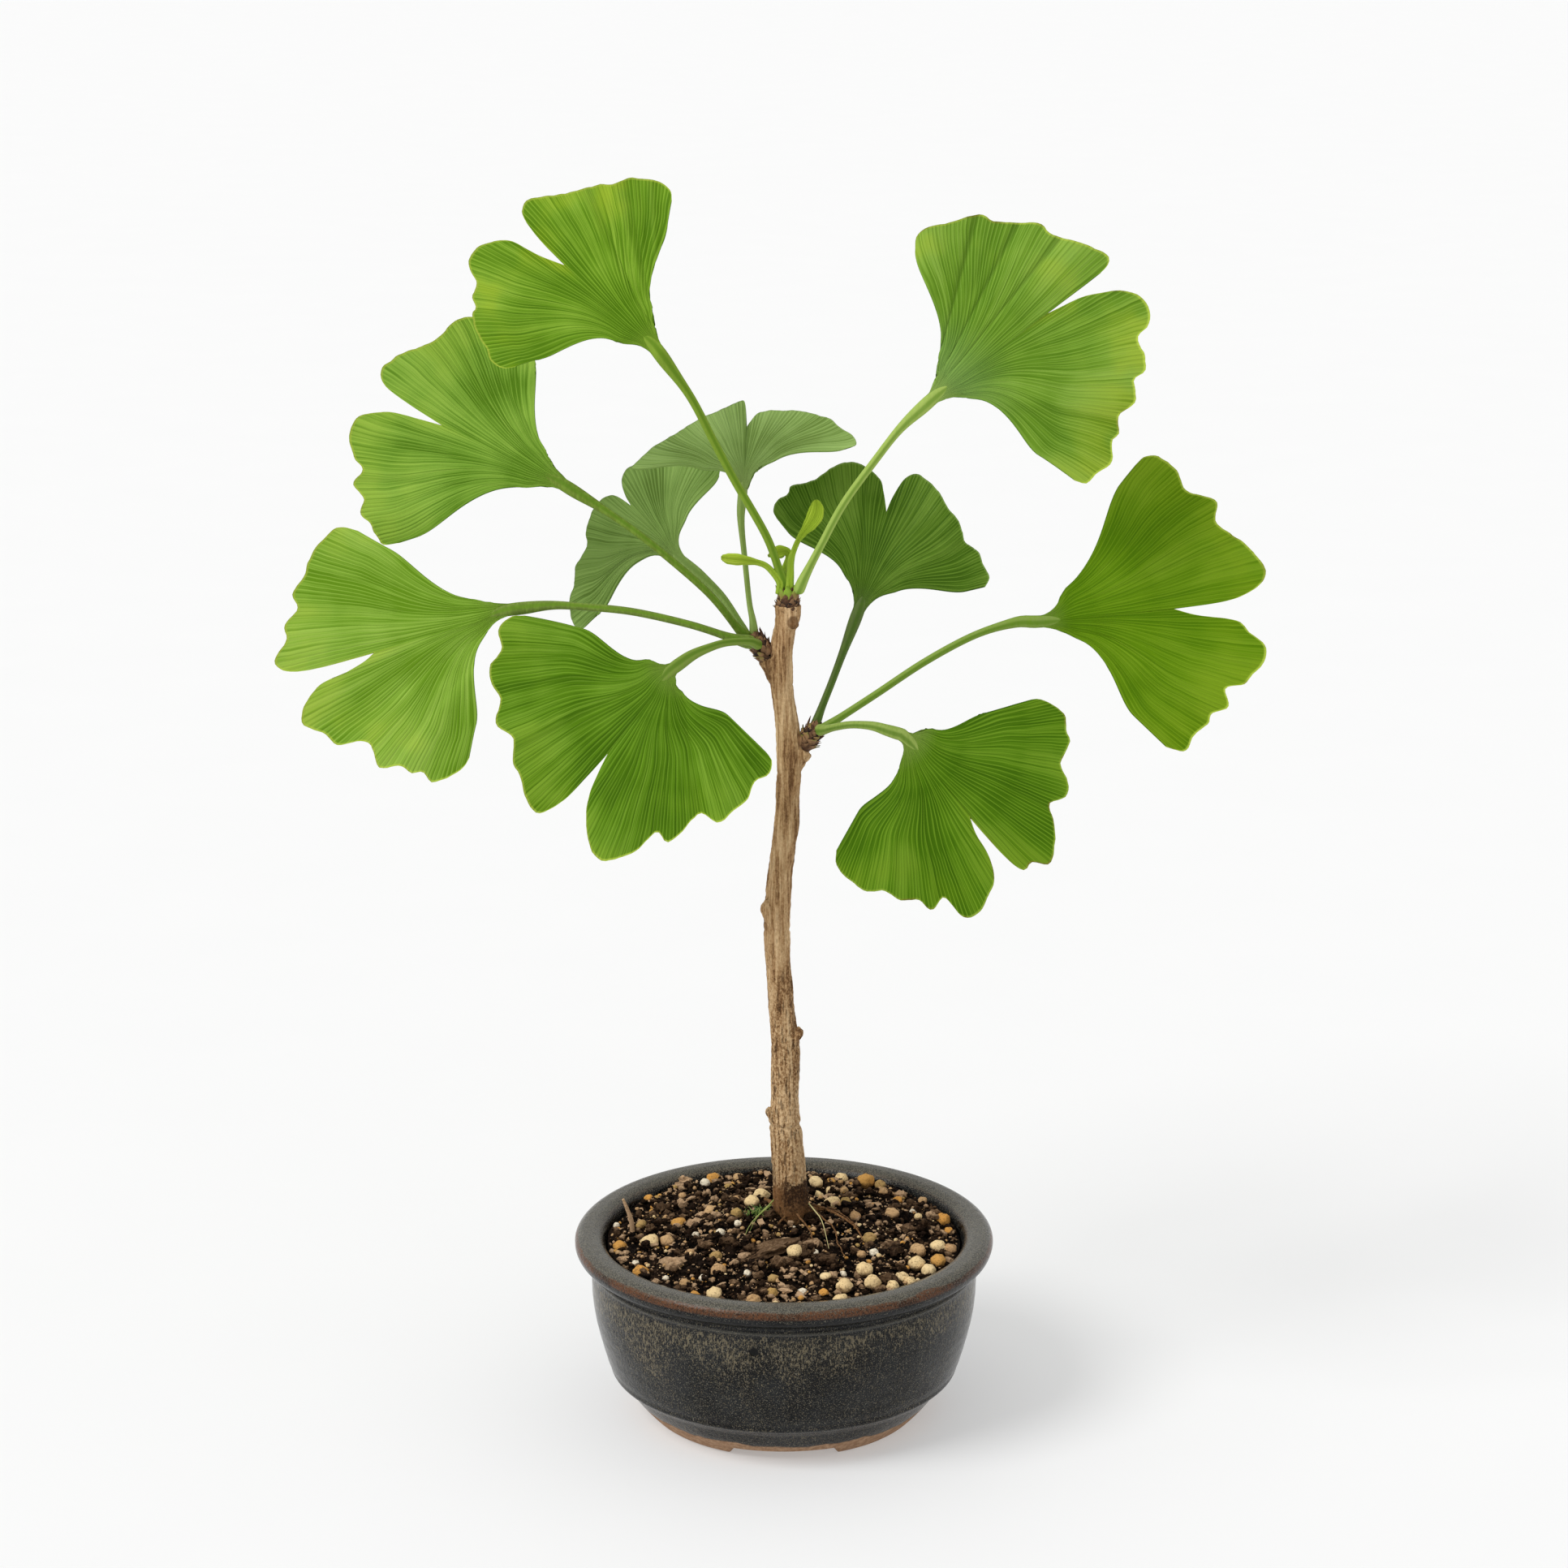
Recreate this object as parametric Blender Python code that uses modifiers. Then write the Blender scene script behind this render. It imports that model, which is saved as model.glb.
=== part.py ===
"""Ginkgo bonsai in a round glazed pot: leaves, woody stem, spurs, soil and pot.

Written for Blender 4.5, in metres with +Z up. The origin is at the middle of the
pot's underside, and the tree's front faces -Y. Sizes are real ones in millimetres,
turned into metres where a mesh is made.
"""
import math
import random
from dataclasses import dataclass

import bmesh
import bpy
from mathutils import Matrix, Vector

MM = 0.001
GAP = 0.3
SEED = 1909
# EXACT is slow on a collection of many small pieces.
SOLVER = "MANIFOLD"

# The blades are laid out in planes that lean back by this much, and their relief
# rises towards one point in front of the tree, as leaves turn to the light.
LEAF_PLANE_LEAN = math.radians(15)
LIGHT_SIDE = Vector((0.0, -847.0, 385.2))

# Pot
RIM_RADIUS = 51.1
RIM_TOP = 45.8
BODY_RADIUS = 47.0
FOOT_RADIUS = 32.0
FOOT_INSIDE = 27.5
FOOT_HEIGHT = 2.8
FOOT_GAP_ANGLE = 44.0
FOOT_GAP_REACH = (20.0, 42.0)
UNDERSIDE = 3.2
FLOOR_TOP = 6.4
DRAIN_RADIUS = 6.0
POT_STEPS = 40

# Soil and its granules, laid out in a spiral between two radii
SOIL_EDGE_RADIUS = 43.2
SOIL_EDGE_HEIGHT = 43.0
SOIL_TOP = 47.8
SOIL_STEPS = 32
GRANULES = 38
GRANULE_RING = (8.5, 39.5)
GRANULE_SIZES = (1.3, 2.3)
SPIRAL_STEP = math.radians(137.5)

# Spurs
SCALE_CLEARANCE = 2.1
SCALE_SIZES = (1.0, 1.35)
SCALE_FORM = (1.0, 0.42, 1.5)

# Leaves
BLADE_THICKNESS = 0.62
BLADE_ROOT = 1.0
CREASE_WIDTH = 0.22
PETIOLE_RINGS = 9
YOUNG_RINGS = 6
PETIOLE_TIP = (0.14, 0.45)
FAN_ROWS = ((0.0, 6), (0.2, 12), (0.45, 24), (0.75, 24), (1.0, 48))

LEAF_GREEN = (0.17, 0.30, 0.045, 1.0)
YELLOW_GREEN = (0.24, 0.36, 0.05, 1.0)
PALE_GREEN = (0.20, 0.33, 0.10, 1.0)
DARK_GREEN = (0.06, 0.16, 0.02, 1.0)
BARK = (0.33, 0.19, 0.10, 1.0)
SCALE_BROWN = (0.10, 0.05, 0.03, 1.0)
GLAZE = (0.045, 0.05, 0.055, 1.0)
EARTH = (0.04, 0.025, 0.018, 1.0)


@dataclass
class Leaf:
    """One fan-shaped leaf.

    The rim runs from one side corner through the notch at angle 0 to the other, as
    (degrees from the middle line, millimetres from the blade's base). An edge is
    (narrow share, where it widens, where it is wide, wide share) of the corner's angle.
    """

    name: str
    base: tuple
    heading: float
    rim: list
    edges: tuple
    petiole: list
    colour: tuple
    lean: float = 0.0
    bow: float = 0.0
    cup: float = 0.0
    side: float = 0.0
    fold: float = 0.0
    pleat: float = 0.9
    pleats: float = 9.0
    petiole_radii: tuple = (1.1, 0.85)


LEAVES = [
    Leaf(
        name="leaf_top_left",
        base=(-27.9, -14, 262.4),
        heading=136.8,
        rim=[(-51, 35), (-50, 37.5), (-45, 39.5), (-40, 40), (-36, 40.5), (-31, 40), (-26, 41),
             (-20, 41.5), (-15, 42.7), (-9, 45), (-5, 46), (-2, 44), (-0.5, 38), (0, 29.4),
             (2, 32), (4, 35.5), (5, 39), (6, 42.5), (9, 45.5), (13, 48), (18, 48), (22, 44.5),
             (26, 44.5), (29, 43), (31, 43.5), (36, 42), (41, 39.3), (45, 38.5), (48, 36), (48, 33)],
        edges=((0.68, 0.25, 0.85, 0.98), (0.50, 0.25, 0.85, 0.95)),
        petiole=[(0.1, 2.8, 206.2), (-0.5, 1.9, 208.4), (-4, 0, 218.1),
                 (-11.4, -3, 231.6), (-16, -6, 241), (-21.2, -10, 252)],
        colour=YELLOW_GREEN,
        lean=-3, cup=-3, side=-2, pleat=1.2, pleats=8),
    Leaf(
        name="leaf_top_right",
        base=(32.7, -6, 250),
        heading=37.5,
        rim=[(57, 34.5), (56, 38.3), (52, 40.3), (45, 41.8), (37, 45), (32, 44.5), (26, 46.3),
             (20, 48.7), (17, 48), (12, 49.5), (5, 52.5), (1, 53.4), (-0.5, 50), (0.5, 43), (0, 32.1),
             (-1.5, 37), (-3, 43), (-5, 47), (-7, 51), (-10, 54), (-14, 55.4), (-18, 53.8), (-20, 50.6),
             (-25, 51), (-29, 50.5), (-31, 47.7), (-37, 47.7), (-41, 44), (-46, 44.5), (-49, 43.2),
             (-55, 44.4), (-60, 42), (-64, 41), (-65, 38)],
        edges=((0.63, 0.2, 1.0, 1.0), (0.42, 0.15, 0.75, 0.96)),
        petiole=[(3.1, 2.9, 205.5), (4.6, 2.1, 207.6), (8.3, 0, 216.1),
                 (13.9, -2, 226.1), (21.3, -4, 236.9), (26.8, -5, 244.2)],
        colour=LEAF_GREEN,
        lean=-2, cup=-3, side=2, pleat=1.0, pleats=9),
    Leaf(
        name="leaf_upper_left",
        base=(-49.8, 2, 228.8),
        heading=153.7,
        rim=[(-48, 31), (-49, 34.5), (-47, 39.5), (-41, 43.4), (-34, 46), (-29, 47.2), (-23, 46.5),
             (-18, 47.5), (-13, 50), (-9, 51.2), (-6, 51.9), (-3, 49.5), (-1.5, 43), (0, 33.2),
             (1.5, 38.5), (3, 44.7), (5, 48.5), (8, 52.2), (13, 52.6), (18, 50.7), (21, 48.3),
             (25, 50.4), (29, 48), (33, 49), (36, 47.2), (40, 46.2), (43, 45.2), (44, 41.6)],
        edges=((0.56, 0.15, 1.0, 1.0), (0.53, 0.2, 0.9, 1.0)),
        petiole=[(-8.9, 3.8, 193.3), (-11, 2.6, 195.6), (-18.2, -1, 205.2), (-31.3, -2, 216.9),
                 (-40.7, 0, 223.4)],
        colour=LEAF_GREEN,
        lean=-4, cup=-2, side=2, pleat=0.8, pleats=9),
    Leaf(
        name="leaf_left",
        base=(-61.4, -12, 203.3),
        heading=197.0,
        rim=[(-43, 41), (-42, 44.5), (-40, 46.3), (-35, 48.3), (-30, 49.5), (-26, 49.7), (-21, 52),
             (-17, 50.7), (-13, 53.8), (-9, 54), (-5, 57.3), (-2, 55.5), (-0.5, 49), (0, 34.6),
             (2, 37.5), (3.5, 43), (4, 48.6), (7, 53.5), (11, 56.3), (16, 53), (20, 52.2), (23, 47.5),
             (26, 46.3), (32, 48.5), (36, 45.2), (40, 45), (43, 43.6), (47, 44.5), (51, 41.7), (54, 38.8),
             (55, 36)],
        edges=((0.63, 0.2, 0.8, 0.98), (0.20, 0.0, 0.8, 0.97)),
        petiole=[(-8.6, 1.5, 192.1), (-11.6, -1.2, 194), (-21.9, -5, 198), (-35, -8, 201.7),
                 (-46.1, -10, 203.3), (-53.6, -11, 203.9)],
        colour=YELLOW_GREEN,
        lean=3, cup=-2, side=-1, pleat=0.9, pleats=9),
    Leaf(
        name="leaf_lower_left",
        base=(-24.7, -14, 190.3),
        heading=231.8,
        rim=[(-70, 37), (-68, 40.2), (-63, 42), (-57, 40.6), (-52, 43.1), (-46, 43), (-41, 41.5),
             (-34, 44), (-29, 41.5), (-26, 41.9), (-21, 44), (-16, 44.5), (-10, 46.6), (-5, 46.8),
             (-2, 41), (-1, 34), (0, 25.8), (2, 31), (4, 36), (7, 40.6), (12, 46), (17, 48.4), (22, 46),
             (26, 43.6), (31, 38.8), (35, 40.8), (40, 38.3), (44, 35.7), (48, 34.6), (53, 37.5),
             (59, 36), (66, 34.9), (72, 32.2), (78, 32.9), (83, 31), (84, 28.8)],
        edges=((0.77, 0.1, 0.6, 1.05), (0.60, 0.1, 0.55, 1.0)),
        petiole=[(-6.3, 0.7, 192), (-8.4, -2.6, 193.4), (-13.6, -7, 194.1), (-17.9, -10, 193.4),
                 (-21.4, -12, 192.2)],
        colour=LEAF_GREEN,
        lean=3, cup=-1, side=-5, pleat=0.8, pleats=8),
    Leaf(
        name="leaf_lower_right",
        base=(27.2, -16, 174.4),
        heading=309.7,
        rim=[(65, 28.6), (65, 32.5), (61, 36), (57, 38.2), (52, 38.2), (47, 39), (40, 37.4), (35, 39.8),
             (30, 40.8), (25, 37.9), (20, 41), (14, 44), (9, 45.5), (6, 42.3), (2, 42), (0.5, 36),
             (0, 24.7), (-3, 29), (-4, 34.6), (-7, 39.8), (-12, 42.7), (-16, 45), (-21, 44.7),
             (-25, 39.1), (-30, 41.3), (-34, 38.5), (-40, 38.5), (-46, 36.4), (-52, 37.2), (-58, 36),
             (-64, 34.8), (-69, 32.6)],
        edges=((0.76, 0.1, 0.65, 0.99), (0.55, 0.1, 0.65, 1.0)),
        petiole=[(8.5, 1.4, 169.7), (9.8, -1.4, 171.4), (11.6, -4, 173.3),
                 (14.8, -7, 174.5), (17.8, -10, 175.2), (20.9, -13, 175.6), (24.1, -15, 175.1)],
        colour=LEAF_GREEN,
        lean=3, cup=-3, side=1, pleat=1.0, pleats=9),
    Leaf(
        name="leaf_right",
        base=(59.3, 8, 195.8),
        heading=5.3,
        rim=[(52, 44), (51, 47), (48, 48.7), (42, 49), (36, 47.3), (32, 49.3), (28, 51.6), (24, 48.9),
             (19, 50.6), (15, 53), (11, 54.7), (7, 55.9), (3.5, 53), (1, 46), (0, 33), (-3, 38.5),
             (-5, 47.8), (-8, 50.5), (-11, 54.5), (-15, 55), (-19, 53), (-22, 51.5), (-24.5, 47.8),
             (-29, 49.8), (-33, 47), (-36, 47.4), (-41, 46.2), (-46, 46.7), (-49, 43)],
        edges=((0.79, 0.25, 0.85, 1.02), (0.50, 0.15, 0.75, 1.0)),
        petiole=[(9.6, 4, 170.3), (14, 4.3, 173.6), (21.9, 5, 179), (33.4, 6, 186.6), (44.9, 7, 192.7),
                 (54.5, 8, 195.6)],
        colour=LEAF_GREEN,
        lean=-5, cup=-2, side=1, pleat=0.9, pleats=9),
    Leaf(
        name="leaf_back_right",
        base=(17.2, 14, 195.7),
        heading=74.0,
        rim=[(55, 30), (54, 32.2), (50, 33.4), (45, 33.6), (42, 34.7), (34, 34), (28, 35.2), (23, 36.5),
             (17, 36.8), (11, 35.2), (6, 33), (3, 29.5), (0, 26), (-1, 30), (-3, 34.3), (-6, 36.6),
             (-11, 36.7), (-17, 35.7), (-24, 33.9), (-30, 33.5), (-36, 32.2), (-40, 31.4), (-46, 33),
             (-51, 32.6), (-57, 33.1), (-61, 31.5)],
        edges=((0.48, 0.15, 0.85, 1.0), (0.58, 0.1, 0.85, 1.0)),
        petiole=[(7.5, 5.5, 171.5), (9.1, 7.2, 175.5), (11.4, 9, 181), (14.3, 12, 188.2)],
        colour=DARK_GREEN,
        lean=-8, cup=-2, side=0, pleat=0.8, pleats=8),
    Leaf(
        name="leaf_back_top",
        base=(-9.7, 8, 226.5),
        heading=86.5,
        rim=[(81, 27), (76, 25.7), (66, 23.7), (58, 22), (48, 20.8), (36, 20.2), (24, 20.1), (12, 20.8),
             (5, 21.8), (2, 21), (0, 15.6), (-3, 17), (-7, 19), (-13, 20.2), (-21, 21.4), (-30, 23.2),
             (-38, 24.8), (-42, 25.7), (-46, 27), (-52, 27.5), (-58, 29), (-63, 29), (-63, 26.6)],
        edges=((0.73, 0.2, 1.0, 1.0), (0.53, 0.1, 1.0, 1.0)),
        petiole=[(-7.1, 4.4, 194.4), (-7.4, 5, 197), (-8.2, 6.5, 201.1), (-9.2, 8, 210.7), (-10.1, 8, 220.4)],
        colour=PALE_GREEN,
        lean=-26, bow=-10, cup=14, fold=2.5, pleat=0.8, pleats=7),
    Leaf(
        name="leaf_back_left",
        base=(-23.1, 16, 207.7),
        heading=133.0,
        rim=[(-63, 22.5), (-61, 25), (-54, 26.4), (-43, 27.1), (-30, 27.4), (-20, 27.1), (-12, 26.9),
             (-6, 25.8), (-2, 22.5), (0, 19.5), (2, 23), (5, 24.8), (12, 25.8), (20, 25.7), (28, 25.3),
             (35, 24.2), (41, 24.8), (48, 26.4), (57, 27.2), (63, 29), (70, 30), (78, 30), (78, 28)],
        edges=((0.46, 0.1, 1.0, 1.0), (0.20, 0.0, 0.85, 0.97)),
        petiole=[(-8.7, 6.5, 192.4), (-10.4, 8.4, 195.2), (-14.6, 12, 200.9), (-19.4, 14, 205.2)],
        colour=PALE_GREEN,
        lean=-18, cup=-2, side=0, pleat=0.6, pleats=8),
]


@dataclass
class Stem:
    """A tapered stem: path points with their radii, all in millimetres."""

    path: list
    radii: list


TRUNK = Stem(
    path=[(2, 5, 33.2), (2.2, 5, 42.2), (2, 4.6, 47.7), (1.7, 4, 51.2), (1.2, 4, 59.7), (0.5, 4, 68.2),
          (0.1, 4, 71.7), (0.3, 4, 80.7), (0.4, 4, 90.2), (-0.4, 4, 99.4), (-0.9, 4, 105.6),
          (-1.5, 4, 113.8), (-1.7, 4, 122.2), (-1.5, 4, 127.2), (-1.2, 4, 132.2), (-0.5, 4, 138.2),
          (0.4, 4, 146.2), (0.8, 4, 153.4), (1.2, 4, 159.2), (1.4, 4, 164.2), (0.9, 4, 170.2),
          (0.4, 4, 174.2), (-0.4, 4, 180.2), (-0.8, 4, 184.7), (-0.6, 4, 190), (0.2, 4, 194.9),
          (0.8, 4, 197.7), (0.9, 4, 200.8)],
    radii=[2.6, 3.2, 4.0, 4.25, 4.05, 3.8, 3.65, 3.25, 3.35, 3.15, 3.05, 3.0, 3.15, 3.1, 2.95, 2.8, 2.9, 2.7,
           2.9, 3.1, 2.7, 2.6, 2.7, 2.9, 2.6, 2.5, 2.9, 3.1])

SHOULDERS = {
    "left": Stem(path=[(-0.8, 4, 182.7), (-2.2, 4, 185.2), (-3.6, 4, 187.2)], radii=[2.4, 2.5, 2.6]),
    "right": Stem(path=[(1.4, 4, 161.2), (3.2, 4, 164), (4.8, 4, 165.8)], radii=[2.4, 2.4, 2.4]),
}

TRUNK_BUDS = [
    Stem(path=[(-2.6, 2.4, 122.7), (-4.4, 1.8, 127), (-4.2, 1.8, 129.2)], radii=[1.7, 1.3, 0.5]),
    Stem(path=[(1.6, 2.4, 92.6), (3.6, 2, 95.2), (3.5, 2, 97)], radii=[1.4, 1.1, 0.4]),
    Stem(path=[(-1.8, 2.4, 73.4), (-3.6, 2, 75), (-3.6, 2, 76.6)], radii=[1.3, 1.0, 0.4]),
    Stem(path=[(1.2, 1.6, 195.6), (2.4, 0.8, 197.4), (2.4, 0.9, 198.6)], radii=[1.0, 0.9, 0.4]),
]

ROOTS = [
    Stem(path=[(3.5, 3, 48.7), (6.4, -2, 48.6), (7.8, -6, 48.2), (9.4, -9.5, 47.8), (10.6, -13, 47.2)],
         radii=[1.5, 0.85, 0.75, 0.7, 0.45]),
    Stem(path=[(5, 4, 48.7), (11, -2.5, 48.2), (14.5, -6, 47.8), (18, -9, 47.2)],
         radii=[1.4, 0.6, 0.5, 0.35]),
    Stem(path=[(-0.5, 3, 48.4), (-5, -1, 48.2), (-9, -3, 47.6)], radii=[1.6, 0.9, 0.4]),
    Stem(path=[(4, 7, 48.4), (9, 10, 48.2), (14, 12, 47.2)], radii=[1.6, 0.9, 0.5]),
    Stem(path=[(0, 7, 48.4), (-3, 12, 48.1), (-5, 17, 47.2)], radii=[1.6, 0.9, 0.5]),
]


@dataclass
class Spur:
    """A knob of bud scales on the end of a shoulder, with the stalks that stand on it."""

    name: str
    middle: tuple
    radius: float
    growth: tuple
    seat: tuple
    scales: int
    stalks: tuple


SPURS = [
    Spur("spur_left", (-6.9, 4, 190.9), 3.0, (-0.55, 0, 0.83), (-3.6, 4, 187.2), 12,
         ("leaf_upper_left", "leaf_left", "leaf_lower_left", "leaf_back_left", "leaf_back_top")),
    Spur("spur_right", (6.7, 4, 168.7), 2.8, (0.6, 0, 0.8), (4.8, 4, 165.8), 10,
         ("leaf_right", "leaf_back_right", "leaf_lower_right")),
    Spur("spur_top", (0.9, 4, 202.9), 3.2, (0, 0, 1), (0.9, 4, 200.8), 11,
         ("leaf_top_left", "leaf_top_right", "young_leaf_upright", "young_leaf_round",
          "young_leaf_rolled")),
]


@dataclass
class YoungLeaf:
    """A young leaf: its stalk, and a small blade with three half-axes that grows one way."""

    name: str
    stalk: list
    radii: tuple
    middle: tuple
    growth: tuple
    axes: tuple


YOUNG_LEAVES = [
    YoungLeaf("young_leaf_upright",
              [(1.7, 6.2, 205.7), (1.9, 5.8, 211.2), (3.2, 5.2, 216.3), (5.3, 4.6, 218.6)], (0.85, 0.65),
              middle=(7.6, 4.4, 221.8), growth=(0.28, 0, 0.96), axes=(2.4, 0.9, 4.6)),
    YoungLeaf("young_leaf_round",
              [(-1.2, 6.5, 204.8), (-0.6, 7.6, 209.2), (0.4, 7.9, 212.2)], (0.75, 0.5),
              middle=(-1.1, 7.6, 213.6), growth=(-0.94, 0, 0.34), axes=(2.1, 0.9, 3.1)),
    YoungLeaf("young_leaf_rolled",
              [(-2.2, 3.5, 204.9), (-3.2, 2.4, 208.6), (-5.5, 1.4, 211.2), (-8.2, 1, 211.8)], (0.8, 0.75),
              middle=(-11, 1, 212.2), growth=(-0.98, 0, 0.14), axes=(1.35, 1.3, 3.6)),
]


def clear_scene():
    """Remove whatever the open file holds."""
    for thing in list(bpy.data.objects):
        bpy.data.objects.remove(thing, do_unlink=True)
    for group in list(bpy.data.collections):
        bpy.data.collections.remove(group)


def new_collection(name):
    """Make a collection of the scene."""
    group = bpy.data.collections.new(name)
    bpy.context.scene.collection.children.link(group)
    return group


def make_material(name, colour, roughness):
    """Make a Principled material."""
    material = bpy.data.materials.new(name)
    material.use_nodes = True
    shader = material.node_tree.nodes["Principled BSDF"]
    shader.inputs["Base Color"].default_value = colour
    shader.inputs["Roughness"].default_value = roughness
    shader.inputs["Metallic"].default_value = 0.0
    material.diffuse_color = colour
    return material


def mesh_object(name, points, faces, group):
    """Make an object from points in millimetres."""
    mesh = bpy.data.meshes.new(name)
    mesh.from_pydata([Vector(point) * MM for point in points], [], faces)
    thing = bpy.data.objects.new(name, mesh)
    group.objects.link(thing)
    return thing


def edit_mesh(thing, action):
    """Run one bmesh step on an object's mesh."""
    shape = bmesh.new()
    shape.from_mesh(thing.data)
    action(shape)
    shape.to_mesh(thing.data)
    shape.free()


def face_outward(shape):
    """Turn all faces of a closed mesh outward."""
    bmesh.ops.recalc_face_normals(shape, faces=shape.faces)


def apply_modifier(thing, modifier):
    """Apply one modifier by way of the evaluated mesh."""
    graph = bpy.context.evaluated_depsgraph_get()
    mesh = bpy.data.meshes.new_from_object(thing.evaluated_get(graph))
    thing.modifiers.remove(modifier)
    old = thing.data
    thing.data = mesh
    bpy.data.meshes.remove(old)


def catmull_rom(points, count):
    """Sample a smooth curve through points at count + 1 even steps of length."""
    points = [Vector(point) for point in points]
    ends = [2 * points[0] - points[1]] + points + [2 * points[-1] - points[-2]]
    fine = []
    steps = 12
    for index in range(1, len(ends) - 2):
        before, start, end, after = ends[index - 1:index + 3]
        for step in range(steps):
            t = step / steps
            fine.append(0.5 * (2 * start + (end - before) * t
                               + (2 * before - 5 * start + 4 * end - after) * t ** 2
                               + (3 * start - before - 3 * end + after) * t ** 3))
    fine.append(points[-1])
    reach = [0.0]
    for start, end in zip(fine, fine[1:]):
        reach.append(reach[-1] + (end - start).length)
    return [point_at(fine, reach, reach[-1] * step / count) for step in range(count + 1)]


def point_at(fine, reach, length):
    """Give the point at a length along a sampled curve."""
    index = 1
    while index < len(reach) - 1 and reach[index] < length:
        index += 1
    span = reach[index] - reach[index - 1]
    share = (length - reach[index - 1]) / span if span else 0.0
    return fine[index - 1].lerp(fine[index], min(1.0, max(0.0, share)))


def tube(name, stem, group, extra=0.0, resolution=2):
    """Make a closed tapered tube along a stem's path, as a mesh."""
    data = bpy.data.curves.new(name, "CURVE")
    data.dimensions = "3D"
    data.bevel_depth = MM
    data.bevel_resolution = resolution
    data.use_fill_caps = True
    line = data.splines.new("POLY")
    line.points.add(len(stem.path) - 1)
    for spot, place, radius in zip(line.points, stem.path, stem.radii):
        spot.co = (*(Vector(place) * MM), 1.0)
        spot.radius = radius + extra
    curve = bpy.data.objects.new(name + "_line", data)
    group.objects.link(curve)
    graph = bpy.context.evaluated_depsgraph_get()
    mesh = bpy.data.meshes.new_from_object(curve.evaluated_get(graph))
    thing = bpy.data.objects.new(name, mesh)
    thing.matrix_world = curve.matrix_world
    group.objects.link(thing)
    bpy.data.objects.remove(curve, do_unlink=True)
    bpy.data.curves.remove(data)
    edit_mesh(thing, weld)
    edit_mesh(thing, face_outward)
    return thing


def smooth_stem(stem, count):
    """Resample a stem evenly along a smooth path."""
    path = catmull_rom(stem.path, count)
    spread = catmull_rom([(radius, index, 0) for index, radius in enumerate(stem.radii)], 8 * count)
    lengths = [0.0]
    for start, end in zip(stem.path, stem.path[1:]):
        lengths.append(lengths[-1] + (Vector(end) - Vector(start)).length)
    radii = []
    for step in range(count + 1):
        place = lengths[-1] * step / count
        index = max(i for i, length in enumerate(lengths) if length <= place + 1e-9)
        if index < len(lengths) - 1:
            index += (place - lengths[index]) / (lengths[index + 1] - lengths[index])
        nearest = min(spread, key=lambda spot: abs(spot.y - index))
        radii.append(nearest.x)
    return Stem(path, radii)


def ellipsoid(name, centre, axes, turn, group, divisions=2):
    """Make an ellipsoid from an icosphere with three half-axes, turned by a matrix."""
    thing = mesh_object(name, [], [], group)
    place = Matrix.Translation(Vector(centre) * MM) @ turn.to_4x4() @ Matrix.Diagonal((*axes, 1.0))
    edit_mesh(thing, lambda shape: bmesh.ops.create_icosphere(
        shape, subdivisions=divisions, radius=MM, matrix=place))
    return thing


def combine(thing, group, operation):
    """Join a collection's objects to one object, or cut them out of it, and remove them."""
    modifier = thing.modifiers.new("combine", "BOOLEAN")
    modifier.operation = operation
    modifier.operand_type = "COLLECTION"
    modifier.collection = group
    modifier.solver = SOLVER
    apply_modifier(thing, modifier)
    remove_group(group)


def remove_group(group):
    """Remove a collection with its objects."""
    for piece in list(group.objects):
        bpy.data.objects.remove(piece, do_unlink=True)
    bpy.data.collections.remove(group)


def working_group(name):
    """Make a collection for cutters and for pieces that are still to be joined."""
    group = new_collection(name)
    group.hide_render = True
    return group


def hide_cutter(thing):
    """Show a cutter as wire and keep it out of a render."""
    thing.display_type = "WIRE"
    thing.hide_render = True


def turn_to(direction):
    """Give the turn that takes +Z to a direction and keeps +Y towards the tree's back."""
    growth = Vector(direction).normalized()
    side = Vector((0, 1, 0)).cross(growth).normalized()
    return Matrix((side, growth.cross(side), growth)).transposed()


def finish(thing, material, group):
    """Give a node its material and round shading, and move it to its collection."""
    thing.data.materials.clear()
    thing.data.materials.append(material)
    for old in list(thing.users_collection):
        old.objects.unlink(thing)
    group.objects.link(thing)
    for face in thing.data.polygons:
        face.use_smooth = True


def lathe(name, profile, steps, group):
    """Turn a profile of (radius, height) about Z into a closed solid."""
    thing = mesh_object(name, [(radius, 0, height) for radius, height in profile], [], group)
    edit_mesh(thing, lambda shape: [shape.edges.new((shape.verts[i - 1], shape.verts[i]))
                                    for i in ready(shape)])
    modifier = thing.modifiers.new("turn", "SCREW")
    modifier.steps = steps
    modifier.render_steps = steps
    modifier.use_merge_vertices = True
    modifier.merge_threshold = 0.00005
    apply_modifier(thing, modifier)
    edit_mesh(thing, weld)
    edit_mesh(thing, face_outward)
    return thing


def weld(shape):
    """Weld the points of a mesh that lie on one another."""
    bmesh.ops.remove_doubles(shape, verts=shape.verts, dist=1e-6)


def ready(shape):
    """Make a profile's vertices indexable and give their numbers after the first."""
    shape.verts.ensure_lookup_table()
    return range(1, len(shape.verts))


def edge_share(edge, along):
    """Give the share of the corner's angle that a side edge has at part of its length."""
    narrow, starts, full, wide = edge
    if along >= full:
        return wide + (1.0 - wide) * (along - full) / max(1e-6, 1.0 - full)
    t = min(1.0, max(0.0, (along - starts) / (full - starts)))
    return narrow + (wide - narrow) * t * t * (3 - 2 * t)


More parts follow.
